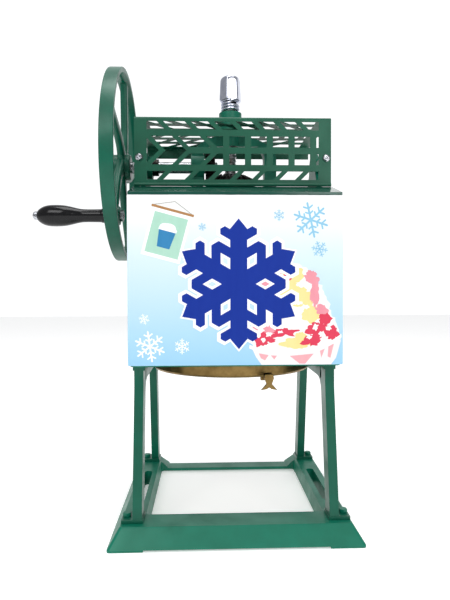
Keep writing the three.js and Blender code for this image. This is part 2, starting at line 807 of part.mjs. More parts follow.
/** Lattice windows of a leaf pattern, in a plane: ribs lean back from the middle rib. */
function latticeWindows(halfWidth, halfHeight, levels, ribs, axis, from, to) {
  const window = outlineOf([
    [-halfWidth, -halfHeight], [halfWidth, -halfHeight],
    [halfWidth, halfHeight], [-halfWidth, halfHeight],
  ]);
  const w = cover.rib;
  const bands = levels.map((level) => outlineOf([
    [-halfWidth - 1, level - w / 2], [halfWidth + 1, level - w / 2],
    [halfWidth + 1, level + w / 2], [-halfWidth - 1, level + w / 2],
  ]));
  const arrowTail = ribs[1].at;
  bands.push(outlineOf([
    [arrowTail, -w / 2], [halfWidth + 1, -w / 2], [halfWidth + 1, w / 2], [arrowTail, w / 2],
  ]));
  for (const { at, flat } of ribs) {
    const back = (halfHeight + 1 - flat) * 1.02;
    bands.push(outlineOf([
      [at - w / 2, flat], [at - w / 2 - back, halfHeight + 1],
      [at + w / 2 - back, halfHeight + 1], [at + w / 2, flat],
      [at + w / 2, -flat], [at + w / 2 - back, -halfHeight - 1],
      [at - w / 2 - back, -halfHeight - 1], [at - w / 2, -flat],
    ].filter(([, up], i, all) => flat > 0 || i % 4 !== 3 || up !== all[(i + 1) % 8][1])));
  }
  const open = prism(window, axis, from, to);
  return cut(open, bands.map((band) => prism(band, axis, from - 1, to + 1)));
}

function makeCover() {
  const { sheet, bend, hem } = cover;
  const front = coverFront;
  const rear = -coverFront;
  const shape = new THREE.Shape();
  shape.moveTo(front + sheet, coverBottom + hem);
  shape.lineTo(front + sheet, coverTop - bend);
  shape.quadraticCurveTo(front + sheet, coverTop - sheet, front + bend, coverTop - sheet);
  shape.lineTo(rear - bend, coverTop - sheet);
  shape.quadraticCurveTo(rear - sheet, coverTop - sheet, rear - sheet, coverTop - bend);
  shape.lineTo(rear - sheet, coverTop - cover.rearFlange);
  shape.lineTo(rear, coverTop - cover.rearFlange);
  shape.lineTo(rear, coverTop - bend);
  shape.quadraticCurveTo(rear, coverTop, rear - bend, coverTop);
  shape.lineTo(front + bend, coverTop);
  shape.quadraticCurveTo(front, coverTop, front, coverTop - bend);
  shape.lineTo(front, coverBottom + 2 * hem);
  shape.absarc(front + 0.4, coverBottom + hem, hem, Math.PI * 0.55, Math.PI * 1.95, false);
  const shell = prism(shape, 'x', -coverWidth / 2, coverWidth / 2, 5);

  const halfWidth = coverWidth / 2 - cover.windowMargin;
  const frontHalf = (cover.height - 17) / 2;
  const frontMiddle = coverBottom + 2 * hem + 5 + frontHalf;
  const pitch = (2 * halfWidth) / 8.1;
  const chevron = (steps) => ({ at: -halfWidth + steps * pitch, flat: 0 });
  const bow = (steps) => ({ at: -halfWidth + steps * pitch, flat: frontHalf * 0.48 });
  const ribs = [chevron(0.72), chevron(2), chevron(3.3)];
  for (let step = 3.72; step < 8; step += 1.03) ribs.push(bow(step));
  const level = frontHalf * 0.6;
  const frontWindows = latticeWindows(halfWidth, frontHalf, [-level, level], ribs,
    'y', front - 4, front + 10).translate([0, 0, frontMiddle]);

  const topHalf = cover.depth / 2 - 12;
  const topRibs = ribs.map(({ at, flat }) => ({ at: at * 1.0, flat: flat * 1.1 }));
  const topLevels = [-topHalf * 0.66, -topHalf * 0.33, topHalf * 0.33, topHalf * 0.66];
  const topWindows = latticeWindows(halfWidth, topHalf, topLevels, topRibs,
    'z', coverTop - 5, coverTop + 5);
  const hubPad = bar('z', cover.bossHole + 10, coverTop - 9, coverTop + 9, [0, 0, 0], 28);
  const hubHole = bar('z', cover.bossHole, coverTop - 9, coverTop + 9, [0, 0, 0], 28);
  const screwHoles = sides.map(([, sign]) => bar('y', 2.4 + clearance, front - 2, front + 6,
    [sign * (cheekInner + cheekOuter) / 2, 0, screwZ], 10));
  const body = cut(shell, [frontWindows, cut(topWindows, [hubPad]), hubHole, ...screwHoles]);

  const screws = sides.map(([side, sign]) => {
    const head = turned([[0, 0], [6, 0], [6, 1.4], [4.4, 3.2], [0, 3.8]], 'y', 20);
    const shank = bar('y', 2.4, -14, 0.5, [0, 0, 0], 10);
    const mesh = piece(`cover_screw_${side}`, head.add(shank), steel);
    mesh.position.set(sign * (cheekInner + cheekOuter) / 2, front - clearance, screwZ);
    mesh.rotation.x = Math.PI;
    return mesh;
  });
  return [piece('gear_cover', body, enamel), ...screws];
}

// ------------------------------------------------------------ bridge and gears

function bridgeBoltPlaces() {
  const y = bridge.footDepth / 2 - 8;
  const left = -bridge.leftOuter + bridge.column / 2;
  const right = bridge.rightOuter - bridge.column / 2;
  return [left, right].flatMap((x) => [[x, -y, 0], [x, y, 0]]);
}

const bridgeBore = 15.3;

function makeBridge() {
  const foot = hoodTop + clearance;
  const { leftOuter: l, rightOuter: r, column: c } = bridge;
  const top = hoodTop + bridge.archTop;
  const under = hoodTop + bridge.archUnder;
  const shoulder = shaftZ + 14;
  const shape = new THREE.Shape();
  shape.moveTo(-l, foot);
  shape.lineTo(-l + c, foot);
  shape.lineTo(-l + c, under - 14);
  shape.quadraticCurveTo(-l + c, under, -l + c + 16, under);
  shape.lineTo(r - c - 16, under);
  shape.quadraticCurveTo(r - c, under, r - c, under - 20);
  shape.lineTo(r - c, foot);
  shape.lineTo(r, foot);
  shape.lineTo(r, shoulder);
  shape.quadraticCurveTo(r - 6, top - 8, bridge.hubRadius, top);
  shape.lineTo(-bridge.hubRadius, top);
  shape.quadraticCurveTo(-l + 8, top - 8, -l, shoulder);
  const arch = prism(shape, 'y', -bridge.depth / 2, bridge.depth / 2, 8);
  const hub = bar('z', bridge.hubRadius, under, hubTop, [0, 0, 0], 24);
  const bearing = bar('x', bridge.bearingRadius, -l, -l + c + 2, [0, 0, shaftZ], 24);
  const feet = [[-l - 4, -l + c + 2], [r - c - 2, r + 4]].map((limits) => box(
    limits, [-bridge.footDepth / 2, bridge.footDepth / 2],
    [foot, foot + bridge.footThickness],
  ));
  const mouth = hubTop - 5;
  const cuts = [
    bar('z', spindle.radius + 0.8, under - 1, hubTop + 1, [0, 0, 0], 24),
    bar('z', bridgeBore, under - 1, mouth, [0, 0, 0], 24),
    bar('x', bushRadius + clearance, -l - 1, -l + c + 3, [0, 0, shaftZ], 24),
  ];
  const boltHoles = bridgeBoltPlaces().map((place) =>
    bar('z', 3 + clearance, foot - 1, foot + 20, place, 10));
  const body = cut(join([arch, hub, bearing, ...feet]), [...cuts, ...boltHoles]);
  const feedNut = tube('z', spindle.radius + 0.4, bridgeBore - clearance,
    under + 4, mouth - clearance, 24);
  const bolts = bridgeBoltPlaces().map((place, i) => {
    const mesh = piece(`bridge_bolt_${i + 1}`, hexBolt(bridge.footThickness + hood.wall, 3),
      steel);
    mesh.position.set(place[0], place[1], foot + bridge.footThickness + clearance);
    return mesh;
  });
  return [piece('gear_bridge', body, enamel), piece('feed_nut', feedNut, brass), ...bolts];
}

// The pitch cones meet where the shaft axis crosses the spindle axis.
const meanRadius = gears.outerRadius - gears.faceWidth / 2;
const gearModule = (2 * meanRadius) / gears.crownTeeth;
const coneRatio = gears.pinionTeeth / gears.crownTeeth;
const innerRadius = gears.outerRadius - gears.faceWidth;

/** Ring of a bevel pinion's outline at a distance from the cones' common tip. */
function pinionRing(distance) {
  const scale = distance / meanRadius;
  const pitchRadius = distance * coneRatio;
  const tip = pitchRadius + gears.addendum * gearModule * scale;
  const root = pitchRadius - gears.dedendum * gearModule * scale;
  const step = (2 * Math.PI) / gears.pinionTeeth;
  const wide = gears.toothShare * 0.66;
  const narrow = gears.toothShare * 0.3;
  const ring = [];
  for (let tooth = 0; tooth < gears.pinionTeeth; tooth++) {
    const angle = -Math.PI / 2 + tooth * step;
    for (const [radius, share] of [[root, -wide], [tip, -narrow], [tip, narrow], [root, wide]]) {
      const a = angle + share * step;
      const at = [radius * Math.cos(a), radius * Math.sin(a)];
      ring.push(new THREE.Vector3(-distance, at[0], shaftZ + at[1]));
    }
  }
  return ring;
}

function makePinion() {
  const rings = [pinionRing(gears.outerRadius), pinionRing(innerRadius)];
  const bore = bar('x', shaft.radius + clearance, -gears.outerRadius - 5, 0,
    [0, 0, shaftZ], 24);
  const body = cut(loft(rings), [bore]);
  const mesh = piece('pinion_gear', body, darkSteel);
  mesh.position.z = -shaftZ;
  return mesh;
}

/** One tooth of the crown gear, pointing along -X before it is turned into place. */
function crownTooth(angle) {
  const ringAt = (radius) => {
    const scale = radius / meanRadius;
    const pitchZ = shaftZ - radius * coneRatio;
    const rootZ = pitchZ - gears.dedendum * gearModule * scale - 0.6;
    const tipZ = pitchZ + gears.addendum * gearModule * scale;
    const step = (2 * Math.PI * radius) / gears.crownTeeth;
    const wide = gears.toothShare * 0.64 * step;
    const narrow = gears.toothShare * 0.3 * step;
    return [[-wide, rootZ], [wide, rootZ], [narrow, tipZ], [-narrow, tipZ]]
      .map(([y, z]) => new THREE.Vector3(-radius, y, z));
  };
  const tooth = loft([ringAt(gears.outerRadius), ringAt(innerRadius)]);
  return tooth.rotate([0, 0, angle]);
}

const thrustTop = hoodTop + clearance + 2.5;

function makeCrownGear() {
  const rootAt = (radius) => shaftZ - radius * coneRatio
    - gears.dedendum * gearModule * (radius / meanRadius);
  const bottom = thrustTop + clearance;
  const body = turned([
    [spindle.radius + 0.5, bottom],
    [gears.outerRadius - 12, bottom],
    [gears.outerRadius, bottom + 6],
    [gears.outerRadius, rootAt(gears.outerRadius)],
    [innerRadius, rootAt(innerRadius)],
    [innerRadius - 1, rootAt(innerRadius) - 4],
    [spindle.radius + 0.5, rootAt(innerRadius) - 4],
    [spindle.radius + 0.5, bottom],
  ], 'z', gears.crownTeeth);
  const step = 360 / gears.crownTeeth;
  const teeth = [];
  for (let i = 0; i < gears.crownTeeth; i++) teeth.push(crownTooth((i + 0.5) * step));
  const keyTo = spindle.radius - spindle.keyDepth + clearance;
  const key = box([-(spindle.radius + 2), -keyTo],
    [-spindle.keyWidth / 2 + clearance, spindle.keyWidth / 2 - clearance],
    [bottom, rootAt(innerRadius) - 4]);
  const washer = tube('z', spindle.radius + 1, gears.outerRadius - 14,
    hoodTop + clearance, thrustTop, 20);
  return {
    gear: piece('crown_gear', join([body, ...teeth, key]), darkSteel),
    washer: piece('thrust_washer', washer, brass),
  };
}

// ------------------------------------------------------- spindle, plate, knob

const spindleTop = knobBottom + knob.height - knob.dome - 7;
const plateTop = plateBottom + plate.hubHeight;

function makeSpindle() {
  const shoulder = plateTop + clearance;
  const studEnd = plateBottom - 11;
  const body = turned([
    [0, studEnd],
    [spindle.studRadius - 1, studEnd],
    [spindle.studRadius, studEnd + 1],
    [spindle.studRadius, shoulder],
    [spindle.radius, shoulder],
    [spindle.radius, spindleTop],
    [0, spindleTop],
  ], 'z', 24);
  const keyway = box([-spindle.radius - 1, -spindle.radius + spindle.keyDepth],
    [-spindle.keyWidth / 2, spindle.keyWidth / 2], [shoulder + 12, spindleTop + 1]);
  return piece('spindle', cut(body, [keyway]), steel);
}

function makePlate() {
  const disk = turned([
    [spindle.studRadius + clearance, plateBottom],
    [plate.radius - 1, plateBottom],
    [plate.radius, plateBottom + 1],
    [plate.radius, plateBottom + plate.thickness - 2],
    [plate.hubRadius + 6, plateBottom + plate.thickness],
    [plate.hubRadius, plateBottom + plate.thickness + 4],
    [plate.hubRadius - 1, plateTop],
    [spindle.studRadius + clearance, plateTop],
    [spindle.studRadius + clearance, plateBottom],
  ], 'z', 28);
  const spikes = [];
  for (let i = 0; i < plate.spikes; i++) {
    const angle = (i * 2 * Math.PI) / plate.spikes;
    const reach = plate.radius - 12;
    const centre = [reach * Math.cos(angle), reach * Math.sin(angle), plateBottom];
    const cone = [[0, -plate.spikeLength], [1, -plate.spikeLength], [4.5, 1], [0, 1]];
    spikes.push(turned(cone, 'z', 8, centre));
  }
  const nutBody = cut(prism(polygon(6, 24), 'z', plateBottom - clearance - 9,
    plateBottom - clearance), [bar('z', spindle.studRadius + clearance,
    plateBottom - 20, plateBottom + 1, [0, 0, 0], 24)]);
  return [piece('pressure_plate', join([disk, ...spikes]), steel),
    piece('plate_nut', nutBody, steel)];
}

/** The hexagonal knob: tapered flats under a rounded top. */
function makeKnob() {
  const ring = (corners, z) => Array.from({ length: 6 }, (_, i) => {
    const angle = radians(knob.turn + 60 * i);
    return new THREE.Vector3((corners / 2) * Math.cos(angle), (corners / 2) * Math.sin(angle), z);
  });
  const top = knobBottom + knob.height;
  const flats = loft([
    ring(knob.bottomCorners, knobBottom),
    ring(knob.topCorners, top),
  ]);
  const corner = knob.bottomCorners / 2;
  const topCorner = knob.topCorners / 2;
  const crown = turned([
    [0, knobBottom - 1],
    [corner - 1.5, knobBottom - 1],
    [corner - 0.4, knobBottom + 2],
    [topCorner - 0.5, top - knob.dome],
    [topCorner - 2.2, top - knob.dome * 0.52],
    [topCorner - 5.2, top - knob.dome * 0.18],
    [topCorner - 9, top],
    [0, top],
  ], 'z', 24);
  const bore = bar('z', spindle.radius + clearance, knobBottom - 2, spindleTop + clearance,
    [0, 0, 0], 24);
  return piece('knob', cut(flats.intersect(crown), [bore]), chrome);
}

/** The buffer spring under the knob, and the washer on top of it. */
function makeSpring() {
  const rise = spring.height - 2 * spring.wire;
  class Coil extends THREE.Curve {
    getPoint(t) {
      const angle = t * spring.turns * 2 * Math.PI;
      const z = hubTop + clearance + spring.wire + t * rise;
      return new THREE.Vector3(springRadius * Math.cos(angle),
        springRadius * Math.sin(angle), z);
    }
  }
  const section = new THREE.Shape();
  section.absarc(0, 0, spring.wire, 0, Math.PI * 2);
  const geometry = new THREE.ExtrudeGeometry(section, {
    steps: Math.round(spring.turns * 14), curveSegments: 4, extrudePath: new Coil(),
  });
  const washer = tube('z', spindle.radius + 0.5, springRadius + spring.wire,
    springTop + clearance, springTop + clearance + knob.seat, 28);
  return [piece('buffer_spring', solid(geometry), chrome),
    piece('knob_washer', washer, chrome)];
}

// ----------------------------------------------------------- shaft and wheel

/** Bushes in the left cheek and in the bridge, which stay still. */
function makeBushes() {
  const bush = (name, from, to) => piece(name,
    tube('x', shaft.radius + clearance, bushRadius, from, to, 24, [0, 0, shaftZ]), brass);
  return [
    bush('outer_bush', -cheekOuter, -cheekInner + 8),
    bush('inner_bush', -bridge.leftOuter, -bridge.leftOuter + bridge.column + 1),
  ];
}

/** One curved spoke, from the hub to the rim, in the wheel's plane. */
function spokeOutline(rimAngle) {
  const from = wheel.hubRadius - 4;
  const to = wheel.radius - wheel.rimThickness + 2;
  const steps = 6;
  const edge = (sign) => {
    const points = [];
    for (let i = 0; i <= steps; i++) {
      const t = i / steps;
      const r = from + (to - from) * t;
      const angle = radians(rimAngle + wheel.spokeSweep * (1 - t) * (1 - t));
      const flare = 1 + 0.9 * (2 * t - 1) ** 6;
      const half = (wheel.spokeWidth * (1.12 - 0.3 * t) * flare) / 2;
      const along = new THREE.Vector2(-Math.cos(angle), Math.sin(angle));
      const across = new THREE.Vector2(-along.y, along.x);
      points.push(along.multiplyScalar(r).addScaledVector(across, sign * half));
    }
    return points;
  };
  return new THREE.Shape([...edge(1), ...edge(-1).reverse()]);
}

/** The wheel, its handle and all that turns with the shaft, on the shaft's axis. */
function makeCrank() {
  const group = new THREE.Group();
  group.position.z = shaftZ;
  const { radius: R, rimThickness: t } = wheel;
  const rim = turned([
    [R - t + 3, -rimOuter],
    [R, -rimOuter],
    [R, -rimInner],
    [R - t + 3, -rimInner],
    [R - t, -(rimInner + rimOuter) / 2],
    [R - t + 3, -rimOuter],
  ], 'x', 48);
  const middle = -(rimInner + rimOuter) / 2;
  const spokes = [];
  for (let i = 0; i < wheel.spokes; i++) {
    const outline = spokeOutline(wheel.firstSpoke + (i * 360) / wheel.spokes);
    const half = wheel.spokeThickness / 2;
    spokes.push(prism(outline, 'x', middle - half, middle + half));
  }
  const hub = bar('x', wheel.hubRadius, -hubOuter, -hubInner, [0, 0, 0], 24);
  const angle = radians(handleAngle);
  const grip = [0, -handle.reach * Math.cos(angle), handle.reach * Math.sin(angle)];
  const boss = bar('x', handle.bossRadius, -rimOuter, -rimInner, grip, 18);
  const bore = bar('x', shaft.radius + clearance, -hubOuter - 1, -hubInner + 1, [0, 0, 0], 24);
  const studHole = bar('x', handle.studRadius + clearance, -rimOuter - 1, -rimInner + 1,
    grip, 16);
  const wheelBody = cut(join([rim, ...spokes, hub, boss]), [bore, studHole]);

  const capFrom = -hubOuter - clearance;
  const shaftEnd = capFrom - 4;
  const cap = cut(turned([
    [0, capFrom - wheel.capLength],
    [wheel.capRadius - 6, capFrom - wheel.capLength],
    [wheel.capRadius, capFrom - wheel.capLength + 3.5],
    [wheel.capRadius, capFrom],
    [0, capFrom],
  ], 'x', 24), [bar('x', shaft.radius + clearance, shaftEnd - clearance, capFrom + 1)]);
  const shaftBody = bar('x', shaft.radius, shaftEnd, -innerRadius + 4, [0, 0, 0], 24);
  const collar = tube('x', shaft.radius + clearance, shaft.radius + 4.5,
    -cheekInner + 8 + clearance, -cheekInner + 18, 24);

  const headFrom = -rimInner + clearance;
  const nutEnd = -gripEnd - clearance;
  const acornBore = handle.acornLength * 0.45;
  const stud = join([
    bar('x', handle.studRadius, nutEnd - acornBore + clearance, headFrom + 1, grip, 16),
    prism(polygon(6, 15), 'x', headFrom, headFrom + 5).translate(grip),
  ]);
  const acorn = cut(turned([
    [0, nutEnd - handle.acornLength],
    [3, nutEnd - handle.acornLength + 0.7],
    [handle.acornRadius - 0.4, nutEnd - handle.acornLength * 0.6],
    [handle.acornRadius, nutEnd - handle.acornLength * 0.35],
    [handle.acornRadius, nutEnd],
    [0, nutEnd],
  ], 'x', 20, grip), [bar('x', handle.studRadius + clearance, nutEnd - acornBore, nutEnd + 1, grip, 16)]);
  group.add(
    piece('flywheel', wheelBody, enamel),
    piece('hub_cap', cap, blackLacquer),
    piece('crank_shaft', shaftBody, steel),
    piece('shaft_collar', collar, darkSteel),
    piece('handle_stud', stud, steel),
    piece('acorn_nut', acorn, steel),
    makePinion(),
    makeGrip(grip),
  );
  return [group];
}

/** The turned grip, which spins on its stud. Distances are shares of its length. */
function makeGrip(centre) {
  const shape = [
    [0, 10.9], [0.055, 10.9], [0.075, 10], [0.2, 9.7], [0.34, 9.9], [0.46, 12.4],
    [0.58, 15], [0.7, 16.1], [0.8, 16.1], [0.88, 14.8], [0.94, 12], [0.98, 9], [1, 7.4],
  ];
  const bore = handle.studRadius + clearance;
  const outside = shape.map(([share, radius]) => [radius, -gripStart - share * handle.gripLength]);
  const inside = [[bore, -gripStart - handle.gripLength], [bore, -gripStart]];
  const profile = [...outside, ...inside, outside[0]].reverse();
  return piece('grip', turned(profile, 'x', 18, centre), blackLacquer);
}

// -------------------------------------------------------------------- assembly

const { gear, washer } = makeCrownGear();
const machine = new THREE.Group();
machine.name = 'shaved_ice_machine';
machine.position.x = centreShift;
machine.add(
  ...makeBase(),
  ...makeLegs(),
  ...makeDeck(),
  ...makeDisc(),
  ...makeBlade(),
  ...makeChamber(),
  ...makeHood(),
  makeCheek('left_cheek', -1, true),
  makeCheek('right_cheek', 1, false),
  ...makeCover(),
  ...makeBridge(),
  gear,
  washer,
  makeSpindle(),
  ...makePlate(),
  makeKnob(),
  ...makeSpring(),
  ...makeBushes(),
  ...makeCrank(),
);

export default machine;
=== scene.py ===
"""Looks of a hand-cranked block-ice shaver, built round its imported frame.

The castings keep the shapes of the frame and get rounded arrises; what is turned, sprung,
threaded or printed is made afresh. Lengths are written in millimetres and turned into metres
where meshes are made. The operator stands at -Y and the hand wheel is at -X.
"""
import logging
import math
from collections.abc import Callable, Iterable, Sequence
from dataclasses import dataclass, field
from enum import Enum
from typing import Any

import bmesh
import bpy
from mathutils import Euler, Matrix, Vector, noise


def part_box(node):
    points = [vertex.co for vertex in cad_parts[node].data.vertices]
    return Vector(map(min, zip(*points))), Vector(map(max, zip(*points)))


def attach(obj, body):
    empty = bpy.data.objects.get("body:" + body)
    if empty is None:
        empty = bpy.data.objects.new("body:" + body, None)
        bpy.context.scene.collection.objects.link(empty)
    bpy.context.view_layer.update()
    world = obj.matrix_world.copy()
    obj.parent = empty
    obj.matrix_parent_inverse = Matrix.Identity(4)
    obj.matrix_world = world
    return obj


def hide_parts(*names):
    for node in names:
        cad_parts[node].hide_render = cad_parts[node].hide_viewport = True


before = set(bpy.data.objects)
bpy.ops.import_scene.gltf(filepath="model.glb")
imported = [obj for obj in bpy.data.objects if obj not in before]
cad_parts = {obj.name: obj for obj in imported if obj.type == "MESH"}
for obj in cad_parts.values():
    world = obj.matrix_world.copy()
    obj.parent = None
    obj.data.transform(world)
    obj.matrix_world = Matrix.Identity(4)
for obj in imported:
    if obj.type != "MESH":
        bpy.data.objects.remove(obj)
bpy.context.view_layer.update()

MM = 0.001
LOG = logging.getLogger("ice_shaver")
Point = tuple[float, float]


# ------------------------------------------------------------------ shading helpers


def linear(code: str) -> tuple[float, float, float, float]:
    """Turn an sRGB hex colour into linear light.

    Args:
        code: Six hex digits, such as "1f7a5c".

    Returns:
        Red, green, blue and alpha for a shader socket.
    """
    channels = [int(code[i:i + 2], 16) / 255 for i in (0, 2, 4)]
    bent = [c / 12.92 if c <= 0.04045 else ((c + 0.055) / 1.055) ** 2.4 for c in channels]
    return (bent[0], bent[1], bent[2], 1.0)


def add_node(tree: bpy.types.NodeTree, kind: str, settings: dict[str, Any] | None = None,
             links: dict[str, bpy.types.NodeSocket] | None = None) -> bpy.types.Node:
    """Add a shader node with its settings and links.

    Args:
        tree: The material's node tree.
        kind: The node's type name.
        settings: Values by attribute name, or by input name.
        links: Output sockets by the name of the input they feed.

    Returns:
        The new node.
    """
    node = tree.nodes.new(kind)
    for key, value in (settings or {}).items():
        if key.isdigit():
            node.inputs[int(key)].default_value = value
        elif key in node.inputs:
            node.inputs[key].default_value = value
        else:
            setattr(node, key, value)
    for key, output in (links or {}).items():
        target = node.inputs[int(key)] if key.isdigit() else node.inputs[key]
        tree.links.new(output, target)
    return node


def set_ramp(ramp_node: bpy.types.Node, stops: Sequence[tuple[float, str]]) -> None:
    """Give a colour ramp its stops.

    Args:
        ramp_node: The colour ramp node.
        stops: Each as (place from 0 to 1, hex colour), from low to high.
    """
    elements = ramp_node.color_ramp.elements
    while len(elements) > 1:
        elements.remove(elements[-1])
    elements[0].position = stops[0][0]
    elements[0].color = linear(stops[0][1])
    for place, code in stops[1:]:
        elements.new(place).color = linear(code)


def per_metre(size_mm: float) -> float:
    """Texture scale at which one cell is about `size_mm` across."""
    return 1000.0 / size_mm


@dataclass(frozen=True)
class Finish:
    """A surface as it is made: what every finish has in common."""

    title: str
    slot: str

    def shade(self, tree: bpy.types.NodeTree, surface: bpy.types.Node,
              place: bpy.types.NodeSocket) -> None:
        """Set the surface's values and feed its textures.

        Args:
            tree: The material's node tree.
            surface: Its surface shader.
            place: Where a point is on the object, in metres.
        """
        raise NotImplementedError

    def material(self) -> bpy.types.Material:
        """Make this finish's material, or find the one that was made before.

        Returns:
            The material.
        """
        known = bpy.data.materials.get(self.title)
        if known:
            return known
        made = bpy.data.materials.new(self.title)
        made.use_nodes = True
        tree = made.node_tree
        tree.nodes.clear()
        surface = add_node(tree, "ShaderNodeBsdfPrincipled")
        place = add_node(tree, "ShaderNodeTexCoord").outputs["Object"]
        self.shade(tree, surface, place)
        add_node(tree, "ShaderNodeOutputMaterial", links={"Surface": surface.outputs["BSDF"]})
        return made


@dataclass(frozen=True)
class CastEnamel(Finish):
    """Stoved enamel sprayed on sand-cast iron.

    The paint is glossy, and the casting's skin shows through it as a faint orange peel.
    """

    colour: str = "02745c"
    thin: str = "025f49"
    roughness: float = 0.42
    peel_mm: float = 2.2
    # Foundry sand is about 0.25 mm; it is drawn coarser, so that it shows.
    sand_mm: float = 0.7
    mottle_mm: float = 38.0
    depth_mm: float = 0.10
    coat: float = 0.06
    # Paint is nearer 1.5; the castings glare less than that.
    ior: float = 1.36

    def shade(self, tree: bpy.types.NodeTree, surface: bpy.types.Node,
              place: bpy.types.NodeSocket) -> None:
        """Set the enamel's colour drift, gloss and peel.

        Args:
            tree: The material's node tree.
            surface: Its surface shader.
            place: Where a point is on the object, in metres.
        """
        peel = add_node(tree, "ShaderNodeTexNoise",
                        {"Scale": per_metre(self.peel_mm), "Detail": 2.0}, {"Vector": place})
        sand = add_node(tree, "ShaderNodeTexNoise",
                        {"Scale": per_metre(self.sand_mm), "Detail": 1.0}, {"Vector": place})
        mottle = add_node(tree, "ShaderNodeTexNoise",
                          {"Scale": per_metre(self.mottle_mm), "Detail": 5.0}, {"Vector": place})
        drift = add_node(tree, "ShaderNodeMapRange",
                         {"From Min": 0.3, "From Max": 0.72, "To Min": 0.0, "To Max": 0.75},
                         {"Value": mottle.outputs["Fac"]})
        paint = add_node(tree, "ShaderNodeMix",
                         {"data_type": "RGBA"}, {"Factor": drift.outputs["Result"]})
        paint.inputs[6].default_value = linear(self.colour)
        paint.inputs[7].default_value = linear(self.thin)
        gloss = add_node(tree, "ShaderNodeMapRange",
                         {"From Min": 0.25, "From Max": 0.75, "To Min": self.roughness - 0.06,
                          "To Max": self.roughness + 0.12}, {"Value": mottle.outputs["Fac"]})
        skin = add_node(tree, "ShaderNodeBump",
                        {"Strength": 0.35, "Distance": self.depth_mm * MM},
                        {"Height": peel.outputs["Fac"]})
        grit = add_node(tree, "ShaderNodeBump",
                        {"Strength": 0.25, "Distance": self.depth_mm * MM * 0.5},
                        {"Height": sand.outputs["Fac"], "Normal": skin.outputs["Normal"]})
        surface.inputs["Coat Weight"].default_value = self.coat
        surface.inputs["Coat Roughness"].default_value = 0.15
        surface.inputs["IOR"].default_value = self.ior
        tree.links.new(paint.outputs[2], surface.inputs["Base Color"])
        tree.links.new(gloss.outputs["Result"], surface.inputs["Roughness"])
        tree.links.new(grit.outputs["Normal"], surface.inputs["Normal"])


@dataclass(frozen=True)
class Metal(Finish):
    """Bare or plated metal. Tool marks or patina show as drifts of colour and gloss."""

    colour: str = "b9bbbf"
    stain: str = "8d8f94"
    roughness: float = 0.25
    spread: float = 0.12
    # Tool marks are about 0.1 mm apart; they are drawn coarser, so that they show.
    mark_mm: tuple[float, float, float] = (0.6, 0.6, 0.6)
    depth_mm: float = 0.02
    patina_mm: float = 9.0

    def shade(self, tree: bpy.types.NodeTree, surface: bpy.types.Node,
              place: bpy.types.NodeSocket) -> None:
        """Set the metal's tint, its stains and its tool marks.

        Args:
            tree: The material's node tree.
            surface: Its surface shader.
            place: Where a point is on the object, in metres.
        """
        stretched = add_node(tree, "ShaderNodeMapping",
                             {"Scale": [per_metre(size) for size in self.mark_mm]},
                             {"Vector": place})
        marks = add_node(tree, "ShaderNodeTexNoise", {"Scale": 1.0, "Detail": 3.0},
                         {"Vector": stretched.outputs["Vector"]})
        stains = add_node(tree, "ShaderNodeTexNoise",
                          {"Scale": per_metre(self.patina_mm), "Detail": 6.0},
                          {"Vector": place})
        amount = add_node(tree, "ShaderNodeMapRange",
                          {"From Min": 0.38, "From Max": 0.7}, {"Value": stains.outputs["Fac"]})
        tint = add_node(tree, "ShaderNodeMix", {"data_type": "RGBA"},
                        {"Factor": amount.outputs["Result"]})
        tint.inputs[6].default_value = linear(self.colour)
        tint.inputs[7].default_value = linear(self.stain)
        gloss = add_node(tree, "ShaderNodeMapRange",
                         {"From Min": 0.3, "From Max": 0.7,
                          "To Min": max(0.03, self.roughness - self.spread),
                          "To Max": self.roughness + self.spread},
                         {"Value": marks.outputs["Fac"]})
        scratch = add_node(tree, "ShaderNodeBump",
                           {"Strength": 0.3, "Distance": self.depth_mm * MM},
                           {"Height": marks.outputs["Fac"]})
        surface.inputs["Metallic"].default_value = 1.0
        tree.links.new(tint.outputs[2], surface.inputs["Base Color"])
        tree.links.new(gloss.outputs["Result"], surface.inputs["Roughness"])
        tree.links.new(scratch.outputs["Normal"], surface.inputs["Normal"])


@dataclass(frozen=True)
class Lacquer(Finish):
    """Hard glossy lacquer over a turned or moulded body."""

    colour: str = "0b0b0c"
    worn: str = "17171a"
    roughness: float = 0.1
    grain_mm: float = 6.0
    # Lacquer is nearer 1.5; this one has a softer shine.
    ior: float = 1.27

    def shade(self, tree: bpy.types.NodeTree, surface: bpy.types.Node,
              place: bpy.types.NodeSocket) -> None:
        """Set the lacquer's depth and the faint haze of hands.

        Args:
            tree: The material's node tree.
            surface: Its surface shader.
            place: Where a point is on the object, in metres.
        """
        haze = add_node(tree, "ShaderNodeTexNoise",
                        {"Scale": per_metre(self.grain_mm), "Detail": 4.0}, {"Vector": place})
        tint = add_node(tree, "ShaderNodeMix", {"data_type": "RGBA"},
                        {"Factor": haze.outputs["Fac"]})
        tint.inputs[6].default_value = linear(self.colour)
        tint.inputs[7].default_value = linear(self.worn)
        gloss = add_node(tree, "ShaderNodeMapRange",
                         {"From Min": 0.35, "From Max": 0.75, "To Min": self.roughness,
                          "To Max": self.roughness + 0.14}, {"Value": haze.outputs["Fac"]})
        surface.inputs["Coat Weight"].default_value = 0.15
        surface.inputs["Coat Roughness"].default_value = 0.05
        surface.inputs["IOR"].default_value = self.ior
        tree.links.new(tint.outputs[2], surface.inputs["Base Color"])
        tree.links.new(gloss.outputs["Result"], surface.inputs["Roughness"])


